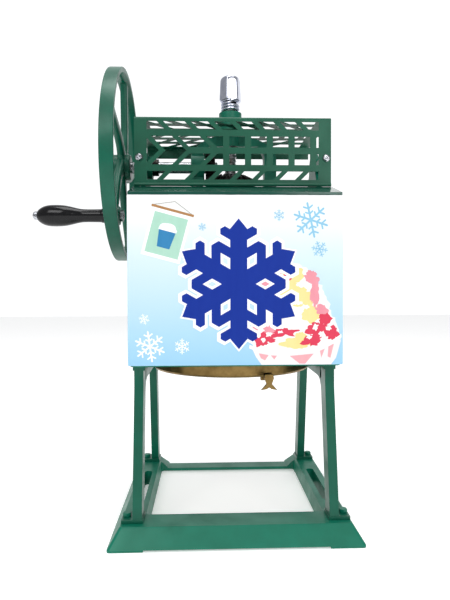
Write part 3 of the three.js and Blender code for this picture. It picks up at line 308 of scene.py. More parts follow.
@dataclass(frozen=True)
class SkyPrint(Finish):
    """Printed board: white ink at the top falls away to pale sky blue at the foot."""

    bottom_mm: float = 252.0
    top_mm: float = 492.0
    stops: tuple[tuple[float, str], ...] = (
        (0.0, "93c6e6"), (0.18, "a6d0ea"), (0.42, "bedbec"), (0.68, "d3e5ee"), (0.9, "ecefef"))
    # The print's screen is about 0.2 mm; it is drawn coarser, so that the satin shows.
    dot_mm: float = 1.1
    board: str = "e9ebec"
    # Faces whose normal points further than this to the operator carry the print.
    front_normal: float = -0.7

    def shade(self, tree: bpy.types.NodeTree, surface: bpy.types.Node,
              place: bpy.types.NodeSocket) -> None:
        """Set the fade of the sky and the print's satin varnish.

        Args:
            tree: The material's node tree.
            surface: Its surface shader.
            place: Where a point is on the object, in metres.
        """
        split = add_node(tree, "ShaderNodeSeparateXYZ", links={"0": place})
        height = add_node(tree, "ShaderNodeMapRange",
                          {"From Min": self.bottom_mm * MM, "From Max": self.top_mm * MM},
                          {"Value": split.outputs["Z"]})
        sky = add_node(tree, "ShaderNodeValToRGB", links={"Fac": height.outputs["Result"]})
        set_ramp(sky, self.stops)
        facing = add_node(tree, "ShaderNodeSeparateXYZ", links={
            "0": add_node(tree, "ShaderNodeNewGeometry").outputs["True Normal"]})
        front = add_node(tree, "ShaderNodeMath",
                         {"operation": "LESS_THAN", "1": self.front_normal},
                         {"0": facing.outputs["Y"]})
        board = add_node(tree, "ShaderNodeMix", {"data_type": "RGBA"},
                         {"Factor": front.outputs["Value"]})
        board.inputs[6].default_value = linear(self.board)
        tree.links.new(sky.outputs["Color"], board.inputs[7])
        screen = add_node(tree, "ShaderNodeTexNoise",
                          {"Scale": per_metre(self.dot_mm), "Detail": 1.0}, {"Vector": place})
        varnish = add_node(tree, "ShaderNodeMapRange",
                           {"From Min": 0.3, "From Max": 0.7, "To Min": 0.32, "To Max": 0.42},
                           {"Value": screen.outputs["Fac"]})
        tree.links.new(board.outputs[2], surface.inputs["Base Color"])
        tree.links.new(varnish.outputs["Result"], surface.inputs["Roughness"])


@dataclass(frozen=True)
class Ink(Finish):
    """Screen-printed ink, a little uneven where the squeegee passed."""

    colour: str = "213799"
    drift: str = "2a44b0"
    pass_mm: tuple[float, float, float] = (9.0, 9.0, 60.0)
    roughness: float = 0.5
    # Dry ink is nearer 1.5; it is matt, so its shine is kept low.
    ior: float = 1.25

    def shade(self, tree: bpy.types.NodeTree, surface: bpy.types.Node,
              place: bpy.types.NodeSocket) -> None:
        """Set the ink's colour and its slight streaks.

        Args:
            tree: The material's node tree.
            surface: Its surface shader.
            place: Where a point is on the object, in metres.
        """
        stretched = add_node(tree, "ShaderNodeMapping",
                             {"Scale": [per_metre(size) for size in self.pass_mm]},
                             {"Vector": place})
        streaks = add_node(tree, "ShaderNodeTexNoise", {"Scale": 1.0, "Detail": 4.0},
                           {"Vector": stretched.outputs["Vector"]})
        tint = add_node(tree, "ShaderNodeMix", {"data_type": "RGBA"},
                        {"Factor": streaks.outputs["Fac"]})
        tint.inputs[6].default_value = linear(self.colour)
        tint.inputs[7].default_value = linear(self.drift)
        surface.inputs["Roughness"].default_value = self.roughness
        surface.inputs["IOR"].default_value = self.ior
        tree.links.new(tint.outputs[2], surface.inputs["Base Color"])


# Green stoving enamel on the heavy castings: dull gloss over a faint orange peel.
ENAMEL = CastEnamel("green_stoving_enamel", "green_enamel")
# The same enamel on the thin pierced cover, with its green painted darker: painted shade for its
# upright front, which gets little light.
SHADED_SHEET_ENAMEL = CastEnamel("green_enamel_on_sheet_painted_shade", "green_enamel", colour="02563f",
                          thin="024834", roughness=0.4, peel_mm=3.0, depth_mm=0.05)
# The hood's slope, rubbed smooth: it mirrors the light in long streaks. Its green is painted darker
# than the rest: painted shade that stands for the dark reflections on the slope.
DARKENED_HOOD_ENAMEL = CastEnamel("green_enamel_polished_painted_dark", "green_enamel", colour="044a3c",
                         thin="03382e", roughness=0.12, coat=0.4, peel_mm=4.5, depth_mm=0.05)
# The same enamel on the wheel and the legs, with its green painted darker as painted shade for their
# upright faces, and a little glossier.
SHADED_WHEEL_ENAMEL = CastEnamel("green_enamel_on_wheel_painted_shade", "green_enamel", colour="025c47",
                          thin="024a38", roughness=0.34, peel_mm=3.2)
# Turned steel, with its tool marks running round the shaft.
STEEL = Metal("turned_steel", "bright_steel", mark_mm=(0.5, 6.0, 6.0), roughness=0.24)
# Zinc plate: brighter and bluer than bare steel.
PLATED_SCREW = Metal("zinc_plated_steel", "bright_steel", colour="c9cbd0", stain="9a9ca3",
                     roughness=0.2)
# The spindle's rolled thread holds brown grease in its grooves.
SPINDLE_STEEL = Metal("rolled_thread_steel", "bright_steel", colour="a4a6aa", stain="6e6a64",
                      roughness=0.3, mark_mm=(6.0, 6.0, 0.5))
# Cast gears, black with oil, and with a dim sheen.
GEAR_IRON = Metal("oiled_gear_iron", "dark_steel", colour="3a3836", stain="241f1e",
                  roughness=0.36, patina_mm=14.0)
# The blade is ground along its edge and is the brightest steel.
BLADE_STEEL = Metal("ground_blade_steel", "bright_steel", colour="cfd2d6", stain="a8acb2",
                    roughness=0.16, mark_mm=(6.0, 0.4, 6.0))
# Chrome: a clean mirror with a cold tint.
CHROME = Metal("chrome_plate", "chrome", colour="d3d6e2", stain="bcc0d2", roughness=0.06,
               spread=0.03, depth_mm=0.0)
# Cast brass gone brown, with patches where hands and water reach it.
BRASS = Metal("aged_cast_brass", "brass", colour="8f7648", stain="6d5732", roughness=0.42,
              mark_mm=(3.0, 3.0, 3.0), depth_mm=0.12, patina_mm=18.0)
# Bushes and nuts turned from bar, yellower than the cast brass.
TURNED_BRASS = Metal("turned_brass", "brass", colour="b39250", stain="86693a", roughness=0.26)
# The grip's lacquer: near black, with one long highlight.
BLACK_LACQUER = Lacquer("black_lacquered_grip", "black_lacquer")
# The hub cap's enamel: black and duller than the grip.
BLACK_ENAMEL = Lacquer("black_enamelled_cap", "black_enamel", colour="121214", worn="232327",
                       roughness=0.24)
# The board's print: white fading to sky blue, under a satin varnish.
SKY = SkyPrint("printed_sky_board", "printed_panel")


def ink(title: str, colour: str, drift: str) -> Ink:
    """Return an ink of the panel's print."""
    return Ink(f"ink_{title}", "printed_panel", colour, drift)


# ------------------------------------------------------------------- mesh helpers


class Axis(Enum):
    """The axis that a turned piece is turned about."""

    X = "x"
    Y = "y"
    Z = "z"


def place_on(axis: Axis, across: float, around: float, along: float) -> Vector:
    """Put turned coordinates onto an axis.

    Args:
        axis: The axis of turning.
        across: First coordinate square to the axis.
        around: Second coordinate square to the axis.
        along: Distance along the axis.

    Returns:
        The point in X, Y and Z, in the units given.
    """
    if axis is Axis.X:
        return Vector((along, across, around))
    if axis is Axis.Y:
        return Vector((around, along, across))
    return Vector((across, around, along))


def grid_faces(mesh: bmesh.types.BMesh, rows: list[list[bmesh.types.BMVert]]) -> None:
    """Skin closed rows of vertices with quads, and leave both ends open.

    Args:
        mesh: The mesh to add to.
        rows: Rows of the same length.
    """
    for low, high in zip(rows, rows[1:]):
        for i in range(len(low)):
            j = (i + 1) % len(low)
            mesh.faces.new((low[i], low[j], high[j], high[i]))


def skin(mesh: bmesh.types.BMesh, rows: list[list[bmesh.types.BMVert]]) -> None:
    """Skin closed rows of vertices and cap both ends.

    Args:
        mesh: The mesh to add to.
        rows: Rows of the same length.
    """
    grid_faces(mesh, rows)
    mesh.faces.new(reversed(rows[0]))
    mesh.faces.new(rows[-1])


def ring(mesh: bmesh.types.BMesh, axis: Axis, centre: Vector, along: float,
         radius_at: Callable[[float], float], sides: int) -> list[bmesh.types.BMVert]:
    """Add a closed row of vertices round an axis.

    Args:
        mesh: The mesh to add to.
        axis: The axis that the row goes round.
        centre: A point on that axis, in metres.
        along: The row's distance along the axis, in millimetres.
        radius_at: The row's radius in millimetres, by the angle in radians.
        sides: Vertices in the row.

    Returns:
        The row's vertices in order.
    """
    row = []
    for i in range(sides):
        angle = 2 * math.pi * i / sides
        radius = radius_at(angle)
        at = place_on(axis, radius * math.cos(angle), radius * math.sin(angle), along)
        row.append(mesh.verts.new(centre + at * MM))
    return row


def lathe(mesh: bmesh.types.BMesh, profile: Sequence[Point], axis: Axis, centre: Vector,
          sides: int = 64) -> None:
    """Turn a profile about an axis into a closed skin.

    Args:
        mesh: The mesh to add to.
        profile: (radius, distance along the axis) in millimetres. It starts and ends on the
            axis, or it is a loop that is closed for it.
        axis: The axis of turning.
        centre: A point on that axis, in metres.
        sides: Facets round the turn.
    """
    rows = []
    for radius, along in profile:
        if radius <= 0:
            rows.append([mesh.verts.new(centre + place_on(axis, 0, 0, along) * MM)])
        else:
            rows.append(ring(mesh, axis, centre, along, lambda _, held=radius: held, sides))
    pairs = list(zip(rows, rows[1:]))
    if len(rows[0]) > 1:
        pairs.append((rows[-1], rows[0]))
    for low, high in pairs:
        for i in range(sides):
            j = (i + 1) % sides
            if len(low) == 1 and len(high) == 1:
                break
            if len(low) == 1:
                mesh.faces.new((low[0], high[j], high[i]))
            elif len(high) == 1:
                mesh.faces.new((low[i], low[j], high[0]))
            else:
                mesh.faces.new((low[i], low[j], high[j], high[i]))


def rounded(profile: Sequence[Point], radius: float, steps: int = 3) -> list[Point]:
    """Round the inner corners of an open profile.

    Args:
        profile: Points, in millimetres.
        radius: Largest corner radius. A short side takes a smaller one.
        steps: Points added on each corner.

    Returns:
        The profile with each inner corner replaced by a short curve.
    """
    result = [profile[0]]
    for before, corner, after in zip(profile, profile[1:], profile[2:]):
        a, b, c = Vector(before), Vector(corner), Vector(after)
        reach = min(radius, (a - b).length * 0.45, (c - b).length * 0.45)
        start = b + (a - b).normalized() * reach
        end = b + (c - b).normalized() * reach
        for i in range(steps + 1):
            t = i / steps
            at = start.lerp(b, t).lerp(b.lerp(end, t), t)
            result.append((at.x, at.y))
    result.append(profile[-1])
    return result


def smooth_profile(profile: Sequence[Point], steps: int) -> list[Point]:
    """Run a Catmull-Rom curve through a profile, keeping its two ends straight.

    Args:
        profile: (radius, along) points.
        steps: Points for each stretch.

    Returns:
        The finer profile.
    """
    result = [profile[0]]
    inner = profile[1:-1]
    for i in range(len(inner) - 1):
        a, b = Vector(inner[max(i - 1, 0)]), Vector(inner[i])
        c, d = Vector(inner[i + 1]), Vector(inner[min(i + 2, len(inner) - 1)])
        for k in range(steps):
            t = k / steps
            at = 0.5 * (2 * b + (c - a) * t + (2 * a - 5 * b + 4 * c - d) * t * t
                        + (3 * b - a - 3 * c + d) * t ** 3)
            result.append((at.x, at.y))
    result.extend([inner[-1], profile[-1]])
    return result


def sweep(mesh: bmesh.types.BMesh, path: Sequence[Vector], radius: float,
          sides: int = 14) -> None:
    """Run a round section along a path and cap its ends.

    Args:
        mesh: The mesh to add to.
        path: Points along the middle, in metres.
        radius: Radius of the section, in metres.
        sides: Facets round the section.
    """
    rows = []
    up = Vector((0, 0, 1))
    for i, point in enumerate(path):
        ahead = path[min(i + 1, len(path) - 1)] - path[max(i - 1, 0)]
        ahead.normalize()
        side = ahead.cross(up).normalized()
        top = side.cross(ahead).normalized()
        rows.append([mesh.verts.new(point + (side * math.cos(a) + top * math.sin(a)) * radius)
                     for a in (2 * math.pi * k / sides for k in range(sides))])
    skin(mesh, rows)


def finish_piece(name: str, mesh: bmesh.types.BMesh, finish: Finish, body: str,
                 stands_for: Iterable[str] = (), smooth_below: float = 38.0) -> bpy.types.Object:
    """Turn a mesh into a dressed piece that rides on its body.

    Args:
        name: The piece's name.
        mesh: Its mesh, which is freed.
        finish: What it is made of.
        body: The body it moves with.
        stands_for: Nodes of the frame that it takes the place of.
        smooth_below: Edges flatter than this many degrees are shaded smooth.

    Returns:
        The new object.
    """
    bmesh.ops.recalc_face_normals(mesh, faces=mesh.faces)
    data = bpy.data.meshes.new(name)
    mesh.to_mesh(data)
    mesh.free()
    data.shade_smooth()
    data.set_sharp_from_angle(angle=math.radians(smooth_below))
    data.materials.append(finish.material())
    piece = bpy.data.objects.new(name, data)
    bpy.context.scene.collection.objects.link(piece)
    even = piece.modifiers.new("even_shading", "WEIGHTED_NORMAL")
    even.keep_sharp = True
    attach(piece, body)
    nodes = list(stands_for)
    if nodes:
        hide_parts(*nodes)
    LOG.info("%s: %d faces on %s", name, len(data.polygons), body)
    return piece


def casting(node: str, finish: Finish, body: str = "frame", arris: float = 1.2,
            steps: int = 2, sharp: float = 28.0, smooth_below: float = 38.0) -> bpy.types.Object:
    """Dress a piece of the frame, with its sharp edges rounded over.

    Args:
        node: The frame's node, whose shape is kept.
        finish: What it is made of.
        body: The body it moves with.
        arris: Radius of its rounded edges, in millimetres.
        steps: Facets across a rounded edge.
        sharp: Edges bent more than this many degrees are rounded.
        smooth_below: Edges flatter than this many degrees are shaded smooth.

    Returns:
        The new object, which stands for the node.
    """
    mesh = bmesh.new()
    mesh.from_mesh(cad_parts[node].data)
    bmesh.ops.remove_doubles(mesh, verts=mesh.verts, dist=0.02 * MM)
    bmesh.ops.dissolve_limit(mesh, angle_limit=math.radians(0.8), verts=mesh.verts,
                             edges=mesh.edges)
    edges = [e for e in mesh.edges
             if len(e.link_faces) == 2 and e.calc_face_angle() > math.radians(sharp)]
    if arris > 0:
        bmesh.ops.bevel(mesh, geom=edges, offset=arris * MM, segments=steps, profile=0.6,
                        affect="EDGES", clamp_overlap=True, harden_normals=False,
                        loop_slide=True)
    return finish_piece(f"{node}_body", mesh, finish, body, [node], smooth_below)


def middle_of(node: str) -> Vector:
    """Middle of a frame node's box, in metres."""
    low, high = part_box(node)
    return (low + high) / 2


def hexagon_radius(angle: float, across_flats: float) -> float:
    """Distance from a hexagon's middle to its side, at an angle from one of its flats."""
    sector = math.pi / 3
    return across_flats / 2 / math.cos((angle + sector / 2) % sector - sector / 2)


# -------------------------------------------------------------------- sub-assemblies


@dataclass
class Bolts:
    """Hex-headed bolts: the head is chamfered where the hexagon meets a cone."""

    across: float = 11.0
    head: float = 5.0
    sides: int = 60
    # A cone this much wider than the flats cuts the hexagon's corners.
    cone_share: float = 1.12
    # Levels up the head, each as (share of its height, how far the cone stands out).
    chamfer: tuple[Point, ...] = ((0.0, -0.4), (0.25, 0.3), (0.78, 0.3), (0.93, -0.2), (1.0, -0.9))
    shank_share: float = 0.33
    shank_play: float = 0.1

    def head_rows(self, mesh: bmesh.types.BMesh, centre: Vector, up: float) -> None:
        """Add one chamfered head.

        Args:
            mesh: The mesh to add to.
            centre: The middle of the head's seat, in metres.
            up: 1 for a head that rises from its seat, or -1 for one that hangs.
        """
        cone = self.across / 2 * self.cone_share
        skin(mesh, [ring(mesh, Axis.Z, centre, up * share * self.head,
                         lambda angle, limit=cone + spread: min(
                             hexagon_radius(angle, self.across), limit), self.sides)
                    for share, spread in self.chamfer])

    def build(self, node: str, finish: Finish, points_up: bool = True) -> None:
        """Make one bolt in the place of a frame node.

        Args:
            node: The frame's node.
            finish: What it is made of.
            points_up: Whether the head is on top.
        """
        low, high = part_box(node)
        centre = (low + high) / 2
        mesh = bmesh.new()
        seat = high.z - self.head * MM if points_up else low.z + self.head * MM
        self.head_rows(mesh, Vector((centre.x, centre.y, seat)), 1.0 if points_up else -1.0)
        start = (low.z if points_up else seat) / MM
        end = (seat if points_up else high.z) / MM
        shank = (high.x - low.x) / MM * self.shank_share - self.shank_play
        lathe(mesh, [(0, start), (shank, start), (shank, end), (0, end)], Axis.Z,
              Vector((centre.x, centre.y, 0)), 20)
        finish_piece(f"{node}_body", mesh, finish, "frame", [node])


@dataclass
class Stand:
    """Flared base, the two leg frames and their bolts."""

    bolts: Bolts = field(default_factory=Bolts)
    base_arris: float = 1.4
    leg_arris: float = 1.6

    def build(self) -> None:
        """Make the base, legs and bolts."""
        casting("base_frame", ENAMEL, arris=self.base_arris)
        for side in ("left", "right"):
            # The legs' green is painted darker than the base's, as painted shade.
            casting(f"{side}_leg_frame", SHADED_WHEEL_ENAMEL, arris=self.leg_arris)
        for end in ("front", "rear"):
            for side in ("left", "right"):
                self.bolts.build(f"foot_bolt_{end}_{side}", ENAMEL)
                self.bolts.build(f"deck_bolt_{end}_{side}", ENAMEL, points_up=False)


@dataclass
class CuttingDeck:
    """Deck, brass blade disc, and the blade on its rod."""

    deck_arris: float = 1.2
    disc_arris: float = 1.0
    lever_arris: float = 0.9
    small_arris: float = 0.4
    edge_arris: float = 0.08

    def build(self) -> None:
        """Make the deck and the cutting gear."""
        casting("lower_deck", ENAMEL, arris=self.deck_arris)
        casting("blade_disc", BRASS, arris=self.disc_arris)
        for i in (1, 2, 3):
            casting(f"disc_screw_{i}", PLATED_SCREW, arris=self.small_arris)
        casting("blade_holder", GEAR_IRON, "cutter", arris=0.5)
        casting("blade", BLADE_STEEL, "cutter", arris=self.edge_arris, steps=1)
        casting("blade_clamp", STEEL, "cutter", arris=self.small_arris)
        casting("adjusting_lever", BRASS, "cutter", arris=self.lever_arris)


@dataclass
class Chamber:
    """The four turned pillars of the ice space."""

    waist: float = 11.0
    flange: float = 19.0
    head: float = 16.0
    # Heights from either end: of the flange, of the neck over it, and of the swell's end.
    flange_tall: float = 6.0
    neck_tall: float = 10.0
    swell_tall: float = 22.0
    swell: float = 2.0

    def build(self) -> None:
        """Turn each pillar between the deck and the hood."""
        for end in ("front", "rear"):
            for side in ("left", "right"):
                self.pillar(f"pillar_{end}_{side}")

    def pillar(self, node: str) -> None:
        """Turn one pillar in the place of its node.

        Args:
            node: The frame's node.
        """
        low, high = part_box(node)
        foot, top = low.z / MM, high.z / MM
        neck = self.waist + self.swell
        profile = rounded([
            (0, foot), (self.flange, foot), (self.flange, foot + self.flange_tall),
            (neck, foot + self.neck_tall), (self.waist, foot + self.swell_tall),
            (self.waist, top - self.swell_tall), (neck, top - self.neck_tall),
            (self.head, top - self.flange_tall), (self.head, top), (0, top),
        ], 2.0)
        mesh = bmesh.new()
        centre = middle_of(node)
        lathe(mesh, profile, Axis.Z, Vector((centre.x, centre.y, 0)), 48)
        finish_piece(f"{node}_body", mesh, ENAMEL, "frame", [node])


@dataclass
class PanScrew:
    """Pan-head screw with a cross recess, its axis along Y."""

    head: float = 3.8
    shank: float = 2.3
    # Power of the head's curve: 2 is a bowl, and more is flatter on top.
    crown: float = 3.2
    recess_half_width: float = 0.75
    recess_reach: float = 0.56
    recess_depth: float = 1.5
    # Share of the head's radius at which the sloping recess would come to nothing.
    recess_fade: float = 0.75
    sides: int = 64
    rings: int = 18

    def height(self, x: float, z: float, distance: float, radius: float) -> float:
        """Height of the head over its seat, at a place square to the axis.

        Args:
            x: The place, across.
            z: The place, up.
            distance: How far it is from the axis.
            radius: Radius of the head.

        Returns:
            The height in millimetres, less inside the cross.
        """
        height = self.head * (1 - (distance / radius) ** self.crown)
        in_arm = min(abs(x), abs(z)) < self.recess_half_width
        if in_arm and distance < radius * self.recess_reach:
            height -= self.recess_depth * (1 - distance / (radius * self.recess_fade))
        return height

    def build(self, node: str) -> None:
        """Make one screw in the place of its node.

        Args:
            node: The frame's node.
        """
        low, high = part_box(node)
        centre = (low + high) / 2
        radius = (high.x - low.x) / 2 / MM
        seat = low.y / MM + self.head
        mesh = bmesh.new()
        rows = []
        for k in range(self.rings):
            distance = radius * (1 - k / self.rings)
            row = []
            for i in range(self.sides):
                angle = 2 * math.pi * i / self.sides
                x, z = distance * math.cos(angle), distance * math.sin(angle)
                level = seat - self.height(x, z, distance, radius)
                row.append(mesh.verts.new(Vector((
                    centre.x + x * MM, level * MM, centre.z + z * MM))))
            rows.append(row)
        grid_faces(mesh, rows)
        mesh.faces.new(rows[-1])
        mesh.faces.new(reversed(rows[0]))
        end = high.y / MM
        lathe(mesh, [(0, seat), (self.shank, seat), (self.shank, end), (0, end)], Axis.Y,
              Vector((centre.x, 0, centre.z)), 20)
        finish_piece(f"{node}_body", mesh, PLATED_SCREW, "frame", [node], 45.0)


@dataclass
class Hood:
    """Hood over the ice space, its bush, the cheeks and the pierced cover."""

    hood_arris: float = 1.6
    cheek_arris: float = 1.0
    bush_arris: float = 0.4
    sheet_arris: float = 0.35
    screw: PanScrew = field(default_factory=PanScrew)

    def build(self) -> None:
        """Make the hood and what stands on it outside the gears."""
        # The hood's green is painted darker than the base's, as a painted dark reflection.
        casting("hood", DARKENED_HOOD_ENAMEL, arris=self.hood_arris)
        casting("spindle_bush", TURNED_BRASS, arris=self.bush_arris)
        casting("left_cheek", ENAMEL, arris=self.cheek_arris)
        casting("right_cheek", ENAMEL, arris=self.cheek_arris)
        # The cover's green is painted darker than the base's, as painted shade.
        casting("gear_cover", SHADED_SHEET_ENAMEL, arris=self.sheet_arris, steps=1, sharp=50.0,
                smooth_below=30.0)
        for side in ("left", "right"):
            self.screw.build(f"cover_screw_{side}")


@dataclass
class GearWork:
    """Bridge, gears, bushes and the crank's shaft."""

    shaft_chamfer: float = 0.6
    groove_from_wheel: float = 40.0
    groove_depth: float = 1.1
    groove_width: float = 3.4
    groove_slope: float = 0.8

    def build(self) -> None:
        """Make everything that turns or holds the turning under the cover."""
        casting("gear_bridge", ENAMEL, arris=1.2)
        for i in (1, 2, 3, 4):
            casting(f"bridge_bolt_{i}", PLATED_SCREW, arris=0.4)
        casting("feed_nut", TURNED_BRASS, arris=0.4)
        casting("thrust_washer", TURNED_BRASS, arris=0.3)
        casting("outer_bush", TURNED_BRASS, arris=0.3)
        casting("inner_bush", TURNED_BRASS, arris=0.3)
        casting("crown_gear", GEAR_IRON, "crown", arris=0.35, steps=1)
        casting("pinion_gear", GEAR_IRON, "crank", arris=0.35, steps=1)
        self.shaft()

    def shaft(self) -> None:
        """Turn the shaft with a grooved middle and the collar beside the cheek."""
        low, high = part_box("crank_shaft")
        centre = Vector((0, (low.y + high.y) / 2, (low.z + high.z) / 2))
        radius = (high.z - low.z) / 2 / MM
        start, end = low.x / MM, high.x / MM
        groove = start + self.groove_from_wheel
        floor = radius - self.groove_depth
        far_side = groove + self.groove_width
        profile = rounded([
            (0, start), (radius - self.shaft_chamfer, start), (radius, start + self.shaft_chamfer),
            (radius, groove), (floor, groove + self.groove_slope),
            (floor, far_side - self.groove_slope), (radius, far_side),
            (radius, end - 0.8), (radius - 0.8, end), (0, end),
        ], 0.3, 2)
        mesh = bmesh.new()
        lathe(mesh, profile, Axis.X, centre, 48)
        finish_piece("crank_shaft_body", mesh, STEEL, "crank", ["crank_shaft"])
        casting("shaft_collar", GEAR_IRON, "crank", arris=0.6)


@dataclass
class FeedSpindle:
    """Threaded spindle with its plate, spring and knob."""

    pitch: float = 6.8
    thread_depth: float = 1.3
    thread_sides: int = 32
    rows_per_turn: int = 8
    # The thread runs out over these lengths, above the plate and below the knob.
    run_out_low: float = 8.0
    run_out_high: float = 5.0
    stud: float = 7.0
    keyway_half_angle: float = 0.2
    keyway_depth: float = 2.0
    wire: float = 2.25
    spring_radius: float = 13.75
    spring_turns: float = 2.75
    spring_steps: int = 110
    knob_foot: float = 38.4
    knob_top: float = 34.6
    knob_turn: float = 10.0
    knob_dome: float = 9.0
    knob_crown: float = 8.0
    knob_chamfer: float = 1.5
    # How sharply the knob's flats, dome and chamfer meet; less is softer.
    knob_sharpness: float = 3.0

    def build(self) -> None:
        """Make the spindle and everything on it."""
        self.spindle()
        casting("pressure_plate", STEEL, "feed", arris=0.5)
        casting("plate_nut", STEEL, "feed", arris=0.5)
        self.spring()
        casting("knob_washer", CHROME, "frame", arris=0.5)
        self.knob()

    def thread_radius(self, angle: float, level: float, radius: float, fade: float) -> float:
        """Radius of the threaded spindle.

        Args:
            angle: Angle round the spindle, in radians.
            level: Height in millimetres.
            radius: Radius over the thread's crests.
            fade: Share of the thread's full depth, less than 1 where it runs out.

        Returns:
            The radius, with the thread and the keyway cut.
        """
        phase = (level / self.pitch - angle / (2 * math.pi)) % 1.0
        groove = max(0.0, min(1.0, 1.6 * abs(2 * phase - 1) - 0.3))
        depth = self.thread_depth * groove * fade
        if abs(angle - math.pi) < self.keyway_half_angle:
            depth = max(depth, self.keyway_depth)
        return radius - depth

    def spindle(self) -> None:
        """Cut the thread as a helical ridge that runs out at both ends."""
        low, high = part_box("spindle")
        centre = ((low + high) / 2).xy.to_3d()
        radius = (high.x - low.x) / 2 / MM
        start, end = low.z / MM, high.z / MM
        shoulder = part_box("pressure_plate")[1].z / MM + 0.3
        mesh = bmesh.new()
        rows = [ring(mesh, Axis.Z, centre, level, lambda _, held=held: held, self.thread_sides)
                for level, held in ((start, self.stud - 1), (start + 1, self.stud),
                                    (shoulder, self.stud))]
        count = int((end - shoulder) / self.pitch * self.rows_per_turn)
        for k in range(count + 1):
            level = shoulder + (end - shoulder) * k / count
            fade = min(1.0, (level - shoulder) / self.run_out_low, (end - level) / self.run_out_high)
            rows.append(ring(mesh, Axis.Z, centre, level,
                             lambda angle, at=level, cut=fade: self.thread_radius(
                                 angle, at, radius, cut), self.thread_sides))
        skin(mesh, rows)
        finish_piece("spindle_body", mesh, SPINDLE_STEEL, "feed", ["spindle"], 60.0)

    def spring(self) -> None:
        """Wind the buffer spring."""
        low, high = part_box("buffer_spring")
        centre = middle_of("knob_washer")
        base = low.z / MM + self.wire
        rise = (high.z - low.z) / MM - 2 * self.wire
        path = []
        for i in range(self.spring_steps + 1):
            t = i / self.spring_steps
            angle = t * self.spring_turns * 2 * math.pi
            path.append(Vector((centre.x, centre.y, 0)) + Vector((
                self.spring_radius * math.cos(angle), self.spring_radius * math.sin(angle),
                base + rise * t)) * MM)
        mesh = bmesh.new()
        sweep(mesh, path, self.wire * MM)
        finish_piece("buffer_spring_body", mesh, CHROME, "frame", ["buffer_spring"], 60.0)

    def knob_radius(self, angle: float, share: float, tall: float) -> float:
        """Radius of the knob, where flats, dome and chamfer meet softly.

        Args:
            angle: Angle round the knob, in radians.
            share: How far up the knob, from 0 to 1.
            tall: Height of the knob, in millimetres.

        Returns:
            The radius in millimetres.
        """
        corner = (self.knob_foot + (self.knob_top - self.knob_foot) * share) / 2
        flats = corner * 2 * math.cos(math.radians(30))
        flat = hexagon_radius(angle - math.radians(30 + self.knob_turn), flats)
        drop = max(0.0, 1 - (1 - share) * tall / self.knob_dome)
        dome = corner - 0.5 - (corner - self.knob_crown) * (1 - math.sqrt(1 - drop ** 2))
        chamfer = corner - self.knob_chamfer + min(self.knob_chamfer, share * tall * 0.7)
        k = self.knob_sharpness
        return -math.log(sum(math.exp(-k * r) for r in (flat, dome, chamfer))) / k

    def knob(self) -> None:
        """Shape the knob: tapered flats with softened corners run into a dome."""
        low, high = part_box("knob")
        centre = Vector(((low.x + high.x) / 2, (low.y + high.y) / 2, 0))
        foot, tall = low.z / MM, (high.z - low.z) / MM
        sides, rings = 144, 60
        mesh = bmesh.new()
        skin(mesh, [ring(mesh, Axis.Z, centre, foot + tall * k / rings,
                         lambda angle, share=k / rings: self.knob_radius(angle, share, tall), sides)
                    for k in range(rings + 1)])
        finish_piece("knob_body", mesh, CHROME, "feed", ["knob"], 50.0)


